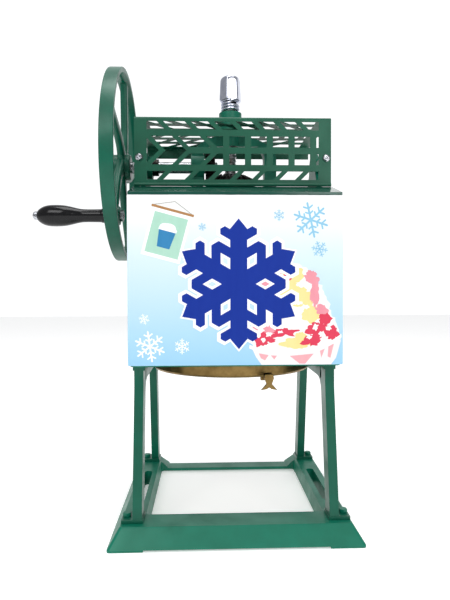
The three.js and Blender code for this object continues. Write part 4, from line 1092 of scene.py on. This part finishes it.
@dataclass
class HandWheel:
    """Spoked wheel, hub cap, stud, turned grip and acorn nut."""

    spokes: int = 5
    first_spoke: float = 27.0
    spoke_sweep: float = 34.0
    spoke_width: float = 17.0
    spoke_depth: float = 12.0
    # Power of the spoke's section: 1 is an oval, and less is squarer.
    spoke_squareness: float = 0.62
    rim_depth: float = 11.0
    rim_width: float = 20.4
    rim_set_back: float = 4.0
    hub_radius: float = 21.0
    shaft_bore: float = 9.65
    boss_radius: float = 14.0
    stud_bore: float = 5.3
    cap_radius: float = 23.0
    cap_bore: float = 9.7
    cap_floor: float = 3.5
    # How far up the acorn nut the dome starts and the hexagon ends, as shares of its height.
    acorn_dome: float = 0.38
    acorn_skirt: float = 0.42
    # The grip's radius in millimetres, by the share of its length from the wheel.
    grip_shape: tuple[Point, ...] = (
        (0, 10.9), (0.03, 11.0), (0.06, 10.7), (0.075, 10.0), (0.12, 9.8), (0.2, 9.7),
        (0.28, 9.7), (0.36, 10.1), (0.44, 11.7), (0.52, 13.7), (0.6, 15.3), (0.68, 16.0),
        (0.75, 16.1), (0.82, 15.8), (0.88, 14.7), (0.93, 12.7), (0.965, 10.5), (0.99, 8.2),
        (1.0, 6.4))
    axle: Vector = field(init=False)
    low: Vector = field(init=False)
    high: Vector = field(init=False)

    def __post_init__(self) -> None:
        """Read the wheel's place from the frame."""
        shaft = middle_of("crank_shaft")
        self.axle = Vector((0, shaft.y, shaft.z))
        self.low, self.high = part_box("flywheel")

    def build(self) -> None:
        """Make the wheel and its handle."""
        self.wheel()
        self.cap()
        self.grip()
        casting("handle_stud", STEEL, "crank", arris=0.5)
        self.acorn()

    def wheel(self) -> None:
        """Turn the rim and hub and loft the curved spokes between them."""
        mesh = bmesh.new()
        hub_low, hub_high = self.low.x / MM, self.high.x / MM
        rim_high = hub_high - self.rim_set_back
        rim_low = rim_high - self.rim_width
        middle = (rim_low + rim_high) / 2
        outer = (self.high.z - self.low.z) / 2 / MM
        inner = outer - self.rim_depth
        section = [
            (outer - 1.2, rim_low), (outer - 0.35, rim_low + 0.35), (outer, rim_low + 1.2),
            (outer, rim_high - 1.2), (outer - 0.35, rim_high - 0.35), (outer - 1.2, rim_high),
            (inner + 4.4, rim_high), (inner + 3.5, rim_high - 0.4), (inner + 3.0, rim_high - 1.2),
            (inner + 1.1, middle + 4), (inner, middle + 1.6), (inner, middle - 1.6),
            (inner + 1.1, middle - 4), (inner + 3.0, rim_low + 1.2), (inner + 3.5, rim_low + 0.4),
            (inner + 4.4, rim_low),
        ]
        lathe(mesh, section, Axis.X, self.axle, 144)
        hub = rounded([
            (self.shaft_bore, hub_low), (self.hub_radius, hub_low), (self.hub_radius, middle - 7),
            (self.hub_radius, middle + 7), (self.hub_radius, hub_high),
            (self.shaft_bore, hub_high),
        ], 2.2)
        lathe(mesh, hub, Axis.X, self.axle, 64)
        for i in range(self.spokes):
            self.spoke(mesh, self.first_spoke + i * 360 / self.spokes, middle, inner)
        grip = middle_of("grip")
        boss = rounded([
            (self.stud_bore, rim_low), (self.boss_radius, rim_low), (self.boss_radius, rim_high),
            (self.stud_bore, rim_high),
        ], 1.8)
        lathe(mesh, boss, Axis.X, Vector((0, grip.y, grip.z)), 48)
        # The wheel's green is painted darker than the base's, as painted shade.
        finish_piece("flywheel_body", mesh, SHADED_WHEEL_ENAMEL, "crank", ["flywheel"], 40.0)

    def spoke(self, mesh: bmesh.types.BMesh, rim_angle: float, middle: float,
              inner: float) -> None:
        """Loft one spoke with an oval section that swells into the hub and the rim.

        Args:
            mesh: The mesh to add to.
            rim_angle: Where the spoke meets the rim, in degrees.
            middle: Its middle plane across X, in millimetres.
            inner: The rim's inner radius, in millimetres.
        """
        steps, sides = 26, 20
        start, end = self.hub_radius - 6, inner + 3
        rows = []
        for k in range(steps + 1):
            t = k / steps
            r = start + (end - start) * t
            angle = math.radians(rim_angle + self.spoke_sweep * (1 - t) ** 2)
            near_end = (2 * t - 1) ** 6
            half = self.spoke_width * (1.12 - 0.3 * t) * (1 + 0.9 * near_end) / 2
            deep = self.spoke_depth * (1 + 0.12 * near_end) / 2
            along = Vector((0, -math.cos(angle), math.sin(angle)))
            across = Vector((0, -along.z, along.y))
            row = []
            for i in range(sides):
                a = 2 * math.pi * i / sides
                c, s = math.cos(a), math.sin(a)
                u = math.copysign(abs(c) ** self.spoke_squareness, c) * half
                v = math.copysign(abs(s) ** self.spoke_squareness, s) * deep
                at = along * r + across * u + Vector((middle + v, 0, 0))
                row.append(mesh.verts.new(self.axle + at * MM))
            rows.append(row)
        skin(mesh, rows)

    def cap(self) -> None:
        """Turn the black cap on the hub, with a shallow step and a rounded rim."""
        low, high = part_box("hub_cap")
        start, end = low.x / MM, high.x / MM
        profile = rounded([
            (0, start), (9, start), (10, start + 1.0), (self.cap_radius - 6, start + 0.6),
            (self.cap_radius, start + 3.5), (self.cap_radius, end), (self.cap_bore, end),
            (self.cap_bore, end - self.cap_floor), (0, end - self.cap_floor),
        ], 1.2)
        mesh = bmesh.new()
        lathe(mesh, profile, Axis.X, self.axle, 64)
        finish_piece("hub_cap_body", mesh, BLACK_ENAMEL, "crank", ["hub_cap"])

    def grip(self) -> None:
        """Turn the grip from its outline, with a fine bead beside the wheel."""
        low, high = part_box("grip")
        centre = (low + high) / 2
        start, length = high.x / MM, (high.x - low.x) / MM
        outside = [(radius, start - share * length) for share, radius in self.grip_shape]
        profile = [(self.stud_bore, start), *outside, (self.stud_bore, start - length)]
        mesh = bmesh.new()
        lathe(mesh, smooth_profile(profile, 3), Axis.X, Vector((0, centre.y, centre.z)), 64)
        finish_piece("grip_body", mesh, BLACK_LACQUER, "grip", ["grip"], 50.0)

    def acorn_radius(self, angle: float, share: float, radius: float) -> float:
        """Radius of the acorn nut, by angle and by the share of its height.

        Args:
            angle: Angle round the nut, in radians.
            share: How far from its seat to its tip, from 0 to 1.
            radius: Radius over the hexagon's corners.

        Returns:
            The radius in millimetres.
        """
        if share < self.acorn_dome:
            dome = radius
        else:
            past = (share - self.acorn_dome) / (1 - self.acorn_dome)
            dome = radius * math.sqrt(max(0.02, 1 - past ** 2))
        flat = hexagon_radius(angle, radius * 1.82) if share < self.acorn_skirt else radius
        return min(dome, flat)

    def acorn(self) -> None:
        """Turn the acorn nut: a hexagon skirt under a dome."""
        low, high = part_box("acorn_nut")
        centre = (low + high) / 2
        axle = Vector((0, centre.y, centre.z))
        start, end = low.x / MM, high.x / MM
        radius = (high.z - low.z) / 2 / MM
        sides, rings = 72, 18
        mesh = bmesh.new()
        rows = [ring(mesh, Axis.X, axle, end - (end - start) * k / rings,
                     lambda angle, share=k / rings: self.acorn_radius(angle, share, radius), sides)
                for k in range(rings)]
        grid_faces(mesh, rows)
        mesh.faces.new(reversed(rows[0]))
        tip = mesh.verts.new(axle + Vector((start, 0, 0)) * MM)
        last = rows[-1]
        for i in range(sides):
            mesh.faces.new((last[i], last[(i + 1) % sides], tip))
        finish_piece("acorn_nut_body", mesh, PLATED_SCREW, "crank", ["acorn_nut"], 45.0)


# -------------------------------------------------------------------- the print


class Layer(Enum):
    """How far each layer of print stands off the board, in millimetres."""

    FIRST = 0.10
    SECOND = 0.16
    THIRD = 0.22
    FOURTH = 0.28
    FIFTH = 0.34


@dataclass
class Crystal:
    """Outline of a six-armed ice crystal, about its own middle, in millimetres."""

    reach: float
    arm: float
    branches: tuple[tuple[float, float], ...]
    branch_width: float
    tip: float = 1.2

    def arms(self, grow: float = 0.0, turn: float = 0.0) -> list[list[Point]]:
        """Return the outlines of the crystal's six arms, which overlap in its middle.

        Args:
            grow: Width of a border added all round.
            turn: Degrees that the crystal is turned by.

        Returns:
            Three shapes for each arm: the arm and its branches on either side.
        """
        half = self.arm / 2 + grow
        top = self.reach + grow
        shapes = [[(-half, -half), (half, -half), (half, top - half * self.tip), (0.0, top),
                   (-half, top - half * self.tip)]]
        lean = Vector((math.sin(math.radians(60)), math.cos(math.radians(60))))
        wide = Vector((-lean.y, lean.x)) * (self.branch_width / 2 + grow)
        for side in (1, -1):
            for place, length in self.branches:
                foot = Vector((0.0, place * self.reach))
                head = foot + lean * (length + grow)
                nose = head + lean * wide.length * 0.6
                corners = [foot - wide, head - wide, nose, head + wide, foot + wide]
                shapes.append([(side * at.x, at.y) for at in corners])
        outlines = []
        for k in range(6):
            angle = math.radians(60 * k + turn)
            outlines.extend([[(x * math.cos(angle) - y * math.sin(angle),
                               x * math.sin(angle) + y * math.cos(angle)) for x, y in shape]
                             for shape in shapes])
        return outlines


@dataclass
class PanelPrint:
    """The printed board on the front: sky, ice crystals, a bowl of shaved ice, a card."""

    seed: int = 7
    thickness: float = 0.05
    # Print stops this far inside the board's edge.
    margin: float = 0.4
    # Points nearer than this are joined, so that a film has no slivers.
    sliver: float = 0.002
    emblem_middle: Point = (4.0, 367.0)
    emblem_border: float = 3.6
    card_hook: Point = (-88.0, 470.0)
    card_tilt: float = -15.0
    # Small crystals, each as (across, up, reach, degrees that it is turned by).
    pale_snow: tuple[tuple[float, float, float, float], ...] = (
        (106.0, 457.0, 26.0, 12.0), (61.0, 463.5, 8.6, 0.0), (118.5, 416.0, 12.0, 20.0),
        (-47.0, 447.0, 6.0, 10.0))
    white_snow: tuple[tuple[float, float, float, float], ...] = (
        (-121.0, 279.5, 22.5, 8.0), (-129.0, 318.0, 8.0, 15.0), (-76.0, 279.5, 11.5, 0.0))
    low: Vector = field(init=False)
    high: Vector = field(init=False)

    def __post_init__(self) -> None:
        """Read the board's place from the frame."""
        self.low, self.high = (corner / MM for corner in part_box("sign_panel"))

    def build(self) -> None:
        """Make the board and each layer of print on it."""
        casting("sign_panel", SKY, arris=0.5)
        self.emblem()
        self.snow()
        self.bowl()
        self.card()

    def lay(self, name: str, outlines: Sequence[Sequence[Point]], colour: Ink,
            layer: Layer) -> None:
        """Lay closed outlines on the board as one thin film of ink.

        Args:
            name: The piece's name.
            outlines: Each a list of (across from the board's middle, height) points.
            colour: The ink.
            layer: How far the film stands off the board.
        """
        mesh = bmesh.new()
        middle, edge = (self.low.x + self.high.x) / 2, (self.high.x - self.low.x) / 2
        back = (self.low.y - layer.value + self.thickness) * MM
        for i, outline in enumerate(outlines):
            front = (self.low.y - layer.value - self.thickness * i / len(outlines)) * MM
            held = [(min(max(x, self.margin - edge), edge - self.margin),
                     min(max(z, self.low.z + self.margin), self.high.z - self.margin))
                    for x, z in outline]
            near = [mesh.verts.new(((x + middle) * MM, front, z * MM)) for x, z in held]
            far = [mesh.verts.new(((x + middle) * MM, back, z * MM)) for x, z in held]
            mesh.faces.new(near)
            mesh.faces.new(list(reversed(far)))
            grid_faces(mesh, [near, far])
        bmesh.ops.remove_doubles(mesh, verts=mesh.verts, dist=self.sliver * MM)
        bmesh.ops.dissolve_degenerate(mesh, edges=mesh.edges, dist=self.sliver * MM)
        bmesh.ops.triangulate(mesh, faces=mesh.faces, ngon_method="EAR_CLIP")
        finish_piece(name, mesh, colour, "frame", smooth_below=20.0)

    def emblem(self) -> None:
        """Print the large dark-blue crystal with its white border."""
        crystal = Crystal(92.0, 24.0, ((0.40, 36.0), (0.68, 26.0)), 13.0, tip=1.2)
        across, up = self.emblem_middle
        white = ink("white", "fdfdfd", "f2f5f8")
        for name, grow, colour, layer in (
                ("print_emblem_border", self.emblem_border, white, Layer.FOURTH),
                ("print_emblem", 0.0, ink("deep_blue", "0c2c8c", "123394"), Layer.FIFTH)):
            arms = [[(x + across, z + up) for x, z in arm] for arm in crystal.arms(grow)]
            self.lay(name, arms, colour, layer)

    def snow(self) -> None:
        """Print the small snowflakes, pale blue above and white below."""
        for name, flakes, colour in (
                ("print_snow_pale", self.pale_snow, ink("pale_blue", "86bdda", "93c6e0")),
                ("print_snow_white", self.white_snow, ink("snow_white", "fbfdff", "f1f9ff"))):
            outlines = []
            for x, z, reach, turn in flakes:
                crystal = Crystal(reach, reach * 0.11, ((0.34, reach * 0.24), (0.62, reach * 0.3)),
                                  reach * 0.09, tip=1.1)
                outlines.extend([[(px + x, pz + z) for px, pz in arm]
                                 for arm in crystal.arms(0.0, turn)])
            self.lay(name, outlines, colour, Layer.SECOND)

    def blob(self, x: float, z: float, wide: float, tall: float, ragged: float,
             key: float, points: int = 44) -> list[Point]:
        """Return a ragged oval.

        Args:
            x: Its middle, across.
            z: Its middle, up.
            wide: Half its width.
            tall: Half its height.
            ragged: How uneven its edge is, as a share of its size.
            key: A number that picks its unevenness.
            points: Points round it.

        Returns:
            The outline.
        """
        outline = []
        for i in range(points):
            angle = 2 * math.pi * i / points
            at = Vector((math.cos(angle) * 1.6, math.sin(angle) * 1.6, key + self.seed))
            bump = 1 + ragged * noise.noise(at) + ragged * 0.6 * noise.noise(at * 3.1)
            outline.append((x + wide * bump * math.cos(angle), z + tall * bump * math.sin(angle)))
        return outline

    def splash(self, name: str, places: Sequence[tuple[float, float, float, float]],
               ragged: float, colour: Ink, layer: Layer) -> None:
        """Print a scatter of blobs as one film.

        Args:
            name: The piece's name.
            places: For each blob its middle across and up, and half its width and height.
            ragged: How uneven the blobs' edges are.
            colour: The ink.
            layer: How far the film stands off the board.
        """
        outlines = [self.blob(x, z, wide, tall, ragged, x * 0.37 + z * 0.11)
                    for x, z, wide, tall in places]
        self.lay(name, outlines, colour, layer)

    def bowl(self) -> None:
        """Print the bowl, its mound of ice and the syrups on it."""
        mound = [
            (25, 277), (19, 299), (22, 316), (26, 331), (33, 346), (41, 362), (50, 376), (60, 385),
            (69, 393), (78, 397), (90, 395), (101, 388), (112, 377), (121, 364), (129, 349),
            (134, 333), (139, 318), (146, 302), (150, 291),
        ]
        edge = []
        for (x, z), (next_x, next_z) in zip(mound, mound[1:]):
            for share in (0.0, 0.25, 0.5, 0.75):
                at = Vector((x + (next_x - x) * share, z + (next_z - z) * share, self.seed))
                puff = noise.noise(at * 0.31) * 3.2
                edge.append((at.x + puff, at.y + puff * 0.7))
        hidden_foot = [(150, 291), (138, 274), (110, 268), (84, 264), (56, 266), (27, 273)]
        self.lay("print_ice_mound", [[*edge, *hidden_foot]],
                 ink("ice_white", "f2f3f2", "e6eaeb"), Layer.SECOND)
        self.splash("print_syrup_yellow", [
            (80, 378, 15, 14), (76, 362, 20, 18), (84, 346, 25, 14), (107, 325, 14, 12),
            (86, 283, 23, 7), (93, 291, 9, 8)], 0.34, ink("lemon", "efdfa0", "e8d488"),
            Layer.THIRD)
        self.splash("print_syrup_pink", [
            (48, 362, 12, 11), (107, 375, 9, 9), (112, 354, 6, 18), (30, 316, 10, 13),
            (50, 303, 12, 6), (121, 330, 8, 7)], 0.5, ink("soft_pink", "e8a2ac", "df8796"),
            Layer.FOURTH)
        self.splash("print_syrup_red", [
            (64, 373, 12, 8), (126, 318, 8, 9), (119, 302, 17, 12), (136, 297, 10, 9),
            (107, 286, 12, 9), (44, 291, 17, 10), (68, 299, 17, 6), (34, 286, 9, 8)],
            0.62, ink("strawberry", "dc4a62", "d0354f"), Layer.FOURTH)
        self.splash("print_ice_flecks", [
            (46, 296, 4, 3), (39, 288, 3, 3), (62, 299, 4, 2), (76, 352, 6, 3), (92, 366, 6, 4),
            (86, 340, 7, 3), (113, 306, 4, 4), (122, 296, 5, 4), (131, 304, 4, 3),
            (104, 292, 4, 3), (60, 370, 4, 3), (98, 334, 5, 3), (72, 376, 4, 3)],
            0.6, ink("ice_fleck", "f4f5f4", "eceff0"), Layer.FIFTH)
        rim = [(19, 281), (34, 276), (56, 272.5), (84, 272), (110, 276), (132, 284), (150, 296)]
        under = [(x - 0.4, z - 5.0) for x, z in reversed(rim)]
        body = [(23, 275), (28, 264), (36, 252.5), (135, 252.5), (142, 262), (149.4, 288),
                (132, 279), (110, 271), (84, 267), (56, 267.5), (34, 271)]
        self.lay("print_bowl", [body], ink("bowl_white", "f1edec", "eae4e4"), Layer.FOURTH)
        self.lay("print_bowl_rim", [[*rim, *under]], ink("rim_white", "f8f8f8", "f1eff0"),
                 Layer.FIFTH)
        facets = [
            [(32, 269), (46, 266.5), (41, 259), (35, 262)], [(49, 266), (58, 265.5), (54, 260)],
            [(76, 265), (110, 268), (98, 254), (90, 254)], [(119, 272), (126, 275), (121, 262)],
            [(131, 278), (139, 282), (134, 262), (130, 264)],
        ]
        self.lay("print_bowl_facets", facets, ink("bowl_pink", "ebb0b5", "e6a0a8"), Layer.FIFTH)

    def card(self) -> None:
        """Print the hanging card: a bar on a cord, tinted paper and a cup of shaved ice."""
        tilt = math.radians(self.card_tilt)
        across, up = self.card_hook

        def turned(points: Sequence[Point]) -> list[Point]:
            """Turn points about the card's hook."""
            return [(across + x * math.cos(tilt) - z * math.sin(tilt),
                     up + x * math.sin(tilt) + z * math.cos(tilt)) for x, z in points]

        paper = [(-28, -2), (-28, -70), (28, -70), (28, -2)]
        inset = [(-24, -7), (-24, -65), (24, -65), (24, -7)]
        bar = [(-30, 1.6), (-30.6, 0), (-30, -1.8), (30, -1.8), (30.6, 0), (30, 1.6)]
        cord = [[(-27, 1.2), (-27, 2.0), (0.3, 13.2), (0, 12.2)],
                [(0, 12.2), (-0.3, 13.2), (27, 2.0), (27, 1.2)]]
        self.lay("print_card_paper", [turned(paper)], ink("paper", "ffffff", "f6f8f8"),
                 Layer.SECOND)
        self.lay("print_card_tint", [turned(inset)], ink("mint", "b4d8c8", "9fcdb8"),
                 Layer.THIRD)
        self.lay("print_card_bar", [turned(bar)], ink("bamboo", "b88a5c", "9d7145"),
                 Layer.FOURTH)
        self.lay("print_card_cord", [turned(part) for part in cord],
                 ink("cord", "a9a39c", "8c867f"), Layer.FOURTH)
        cup = [(-12, -30), (-9, -54), (9, -54), (12, -30)]
        scoop = self.blob(0, -28, 13, 9, 0.12, 31.0)
        self.lay("print_card_cup", [turned(cup)], ink("cup_blue", "3b86b8", "2f76a6"),
                 Layer.FIFTH)
        self.lay("print_card_scoop", [turned([(x, max(z, -30)) for x, z in scoop])],
                 ink("scoop_white", "fefefe", "f2f7fa"), Layer.FOURTH)


# -------------------------------------------------------------------- the studio


@dataclass(frozen=True)
class Softbox:
    """A square soft light that faces the object: its place in metres, watts and size."""

    name: str
    place: tuple[float, float, float]
    watts: float
    size: float

    def hang(self, aim: Vector) -> None:
        """Hang the light.

        Args:
            aim: The point that it faces, in metres.
        """
        data = bpy.data.lights.new(self.name, "AREA")
        data.energy = self.watts
        data.size = self.size
        lamp = bpy.data.objects.new(self.name, data)
        lamp.location = self.place
        lamp.rotation_euler = (aim - lamp.location).to_track_quat("-Z", "Y").to_euler()
        bpy.context.scene.collection.objects.link(lamp)


@dataclass
class Studio:
    """Pale floor, soft lights and the camera."""

    floor_reach: float = 6.0
    floor_glow: float = 0.35
    softboxes: tuple[Softbox, ...] = (
        Softbox("key_light", (-0.9, -2.4, 2.3), 24.0, 1.2),
        Softbox("fill_light", (1.0, -2.3, 1.3), 14.0, 1.1),
        Softbox("top_light", (0.1, -0.2, 2.8), 36.0, 1.5))
    # The sky is dimmer on the operator's side, so that the castings keep their depth.
    sky_near: float = 0.42
    sky_far: float = 1.12
    sky_blend: tuple[float, float] = (0.25, 0.78)
    aim_height: float = 0.4
    distance: float = 906.0
    eye_height: float = 362.0
    eye_left: float = 42.6
    lens: float = 32.07
    pitch: float = -1.33
    yaw: float = -2.07
    roll: float = -0.18

    def build(self) -> None:
        """Make the floor, lights and camera."""
        self.floor()
        self.lights()
        self.camera()

    def floor(self) -> None:
        """Lay a wide pale floor."""
        mesh = bmesh.new()
        reach = self.floor_reach
        corners = [(-reach, -reach), (reach, -reach), (reach, reach), (-reach, reach)]
        mesh.faces.new([mesh.verts.new((x, y, 0.0)) for x, y in corners])
        data = bpy.data.meshes.new("studio_floor")
        mesh.to_mesh(data)
        mesh.free()
        pale = bpy.data.materials.new("pale_floor")
        pale.use_nodes = True
        surface = pale.node_tree.nodes["Principled BSDF"]
        surface.inputs["Base Color"].default_value = linear("fbfbfb")
        surface.inputs["Roughness"].default_value = 0.9
        surface.inputs["Emission Color"].default_value = linear("ffffff")
        surface.inputs["Emission Strength"].default_value = self.floor_glow
        data.materials.append(pale)
        ground = bpy.data.objects.new("studio_floor", data)
        bpy.context.scene.collection.objects.link(ground)

    def lights(self) -> None:
        """Hang three large soft lights and a pale sky."""
        world = bpy.data.worlds.new("studio_sky")
        world.use_nodes = True
        tree = world.node_tree
        way = add_node(tree, "ShaderNodeTexCoord").outputs["Generated"]
        split = add_node(tree, "ShaderNodeSeparateXYZ", links={"0": way})
        behind = add_node(tree, "ShaderNodeMapRange",
                          {"From Min": self.sky_blend[0], "From Max": self.sky_blend[1],
                           "To Min": self.sky_near, "To Max": self.sky_far},
                          {"Value": split.outputs["Y"]})
        tree.nodes["Background"].inputs["Color"].default_value = linear("fcfdfe")
        tree.links.new(behind.outputs["Result"], tree.nodes["Background"].inputs["Strength"])
        bpy.context.scene.world = world
        bpy.context.scene.view_settings.view_transform = "Standard"
        for softbox in self.softboxes:
            softbox.hang(Vector((0, 0, self.aim_height)))

    def camera(self) -> None:
        """Set the camera level with the deck, a little to the left of the middle."""
        data = bpy.data.cameras.new("camera")
        data.lens = self.lens
        data.sensor_width = 36.0
        data.sensor_height = 36.0
        data.sensor_fit = "AUTO"
        eye = bpy.data.objects.new("camera", data)
        centre = middle_of("base_frame").x / MM
        eye.location = Vector((centre - self.eye_left, -self.distance, self.eye_height)) * MM
        aim = Euler((math.radians(90 + self.pitch), 0, math.radians(self.yaw)), "XYZ")
        turn = aim.to_matrix() @ Matrix.Rotation(math.radians(self.roll), 3, "Z")
        eye.rotation_euler = turn.to_euler()
        bpy.context.scene.collection.objects.link(eye)
        bpy.context.scene.camera = eye


def main() -> None:
    """Build every sub-assembly."""
    logging.basicConfig(level=logging.INFO, format="%(name)s: %(message)s")
    builders: list[Callable[[], None]] = [
        Studio().build, Stand().build, CuttingDeck().build, Chamber().build, Hood().build,
        GearWork().build, FeedSpindle().build, HandWheel().build, PanelPrint().build,
    ]
    for build in builders:
        build()


if __name__ == "__main__":
    main()
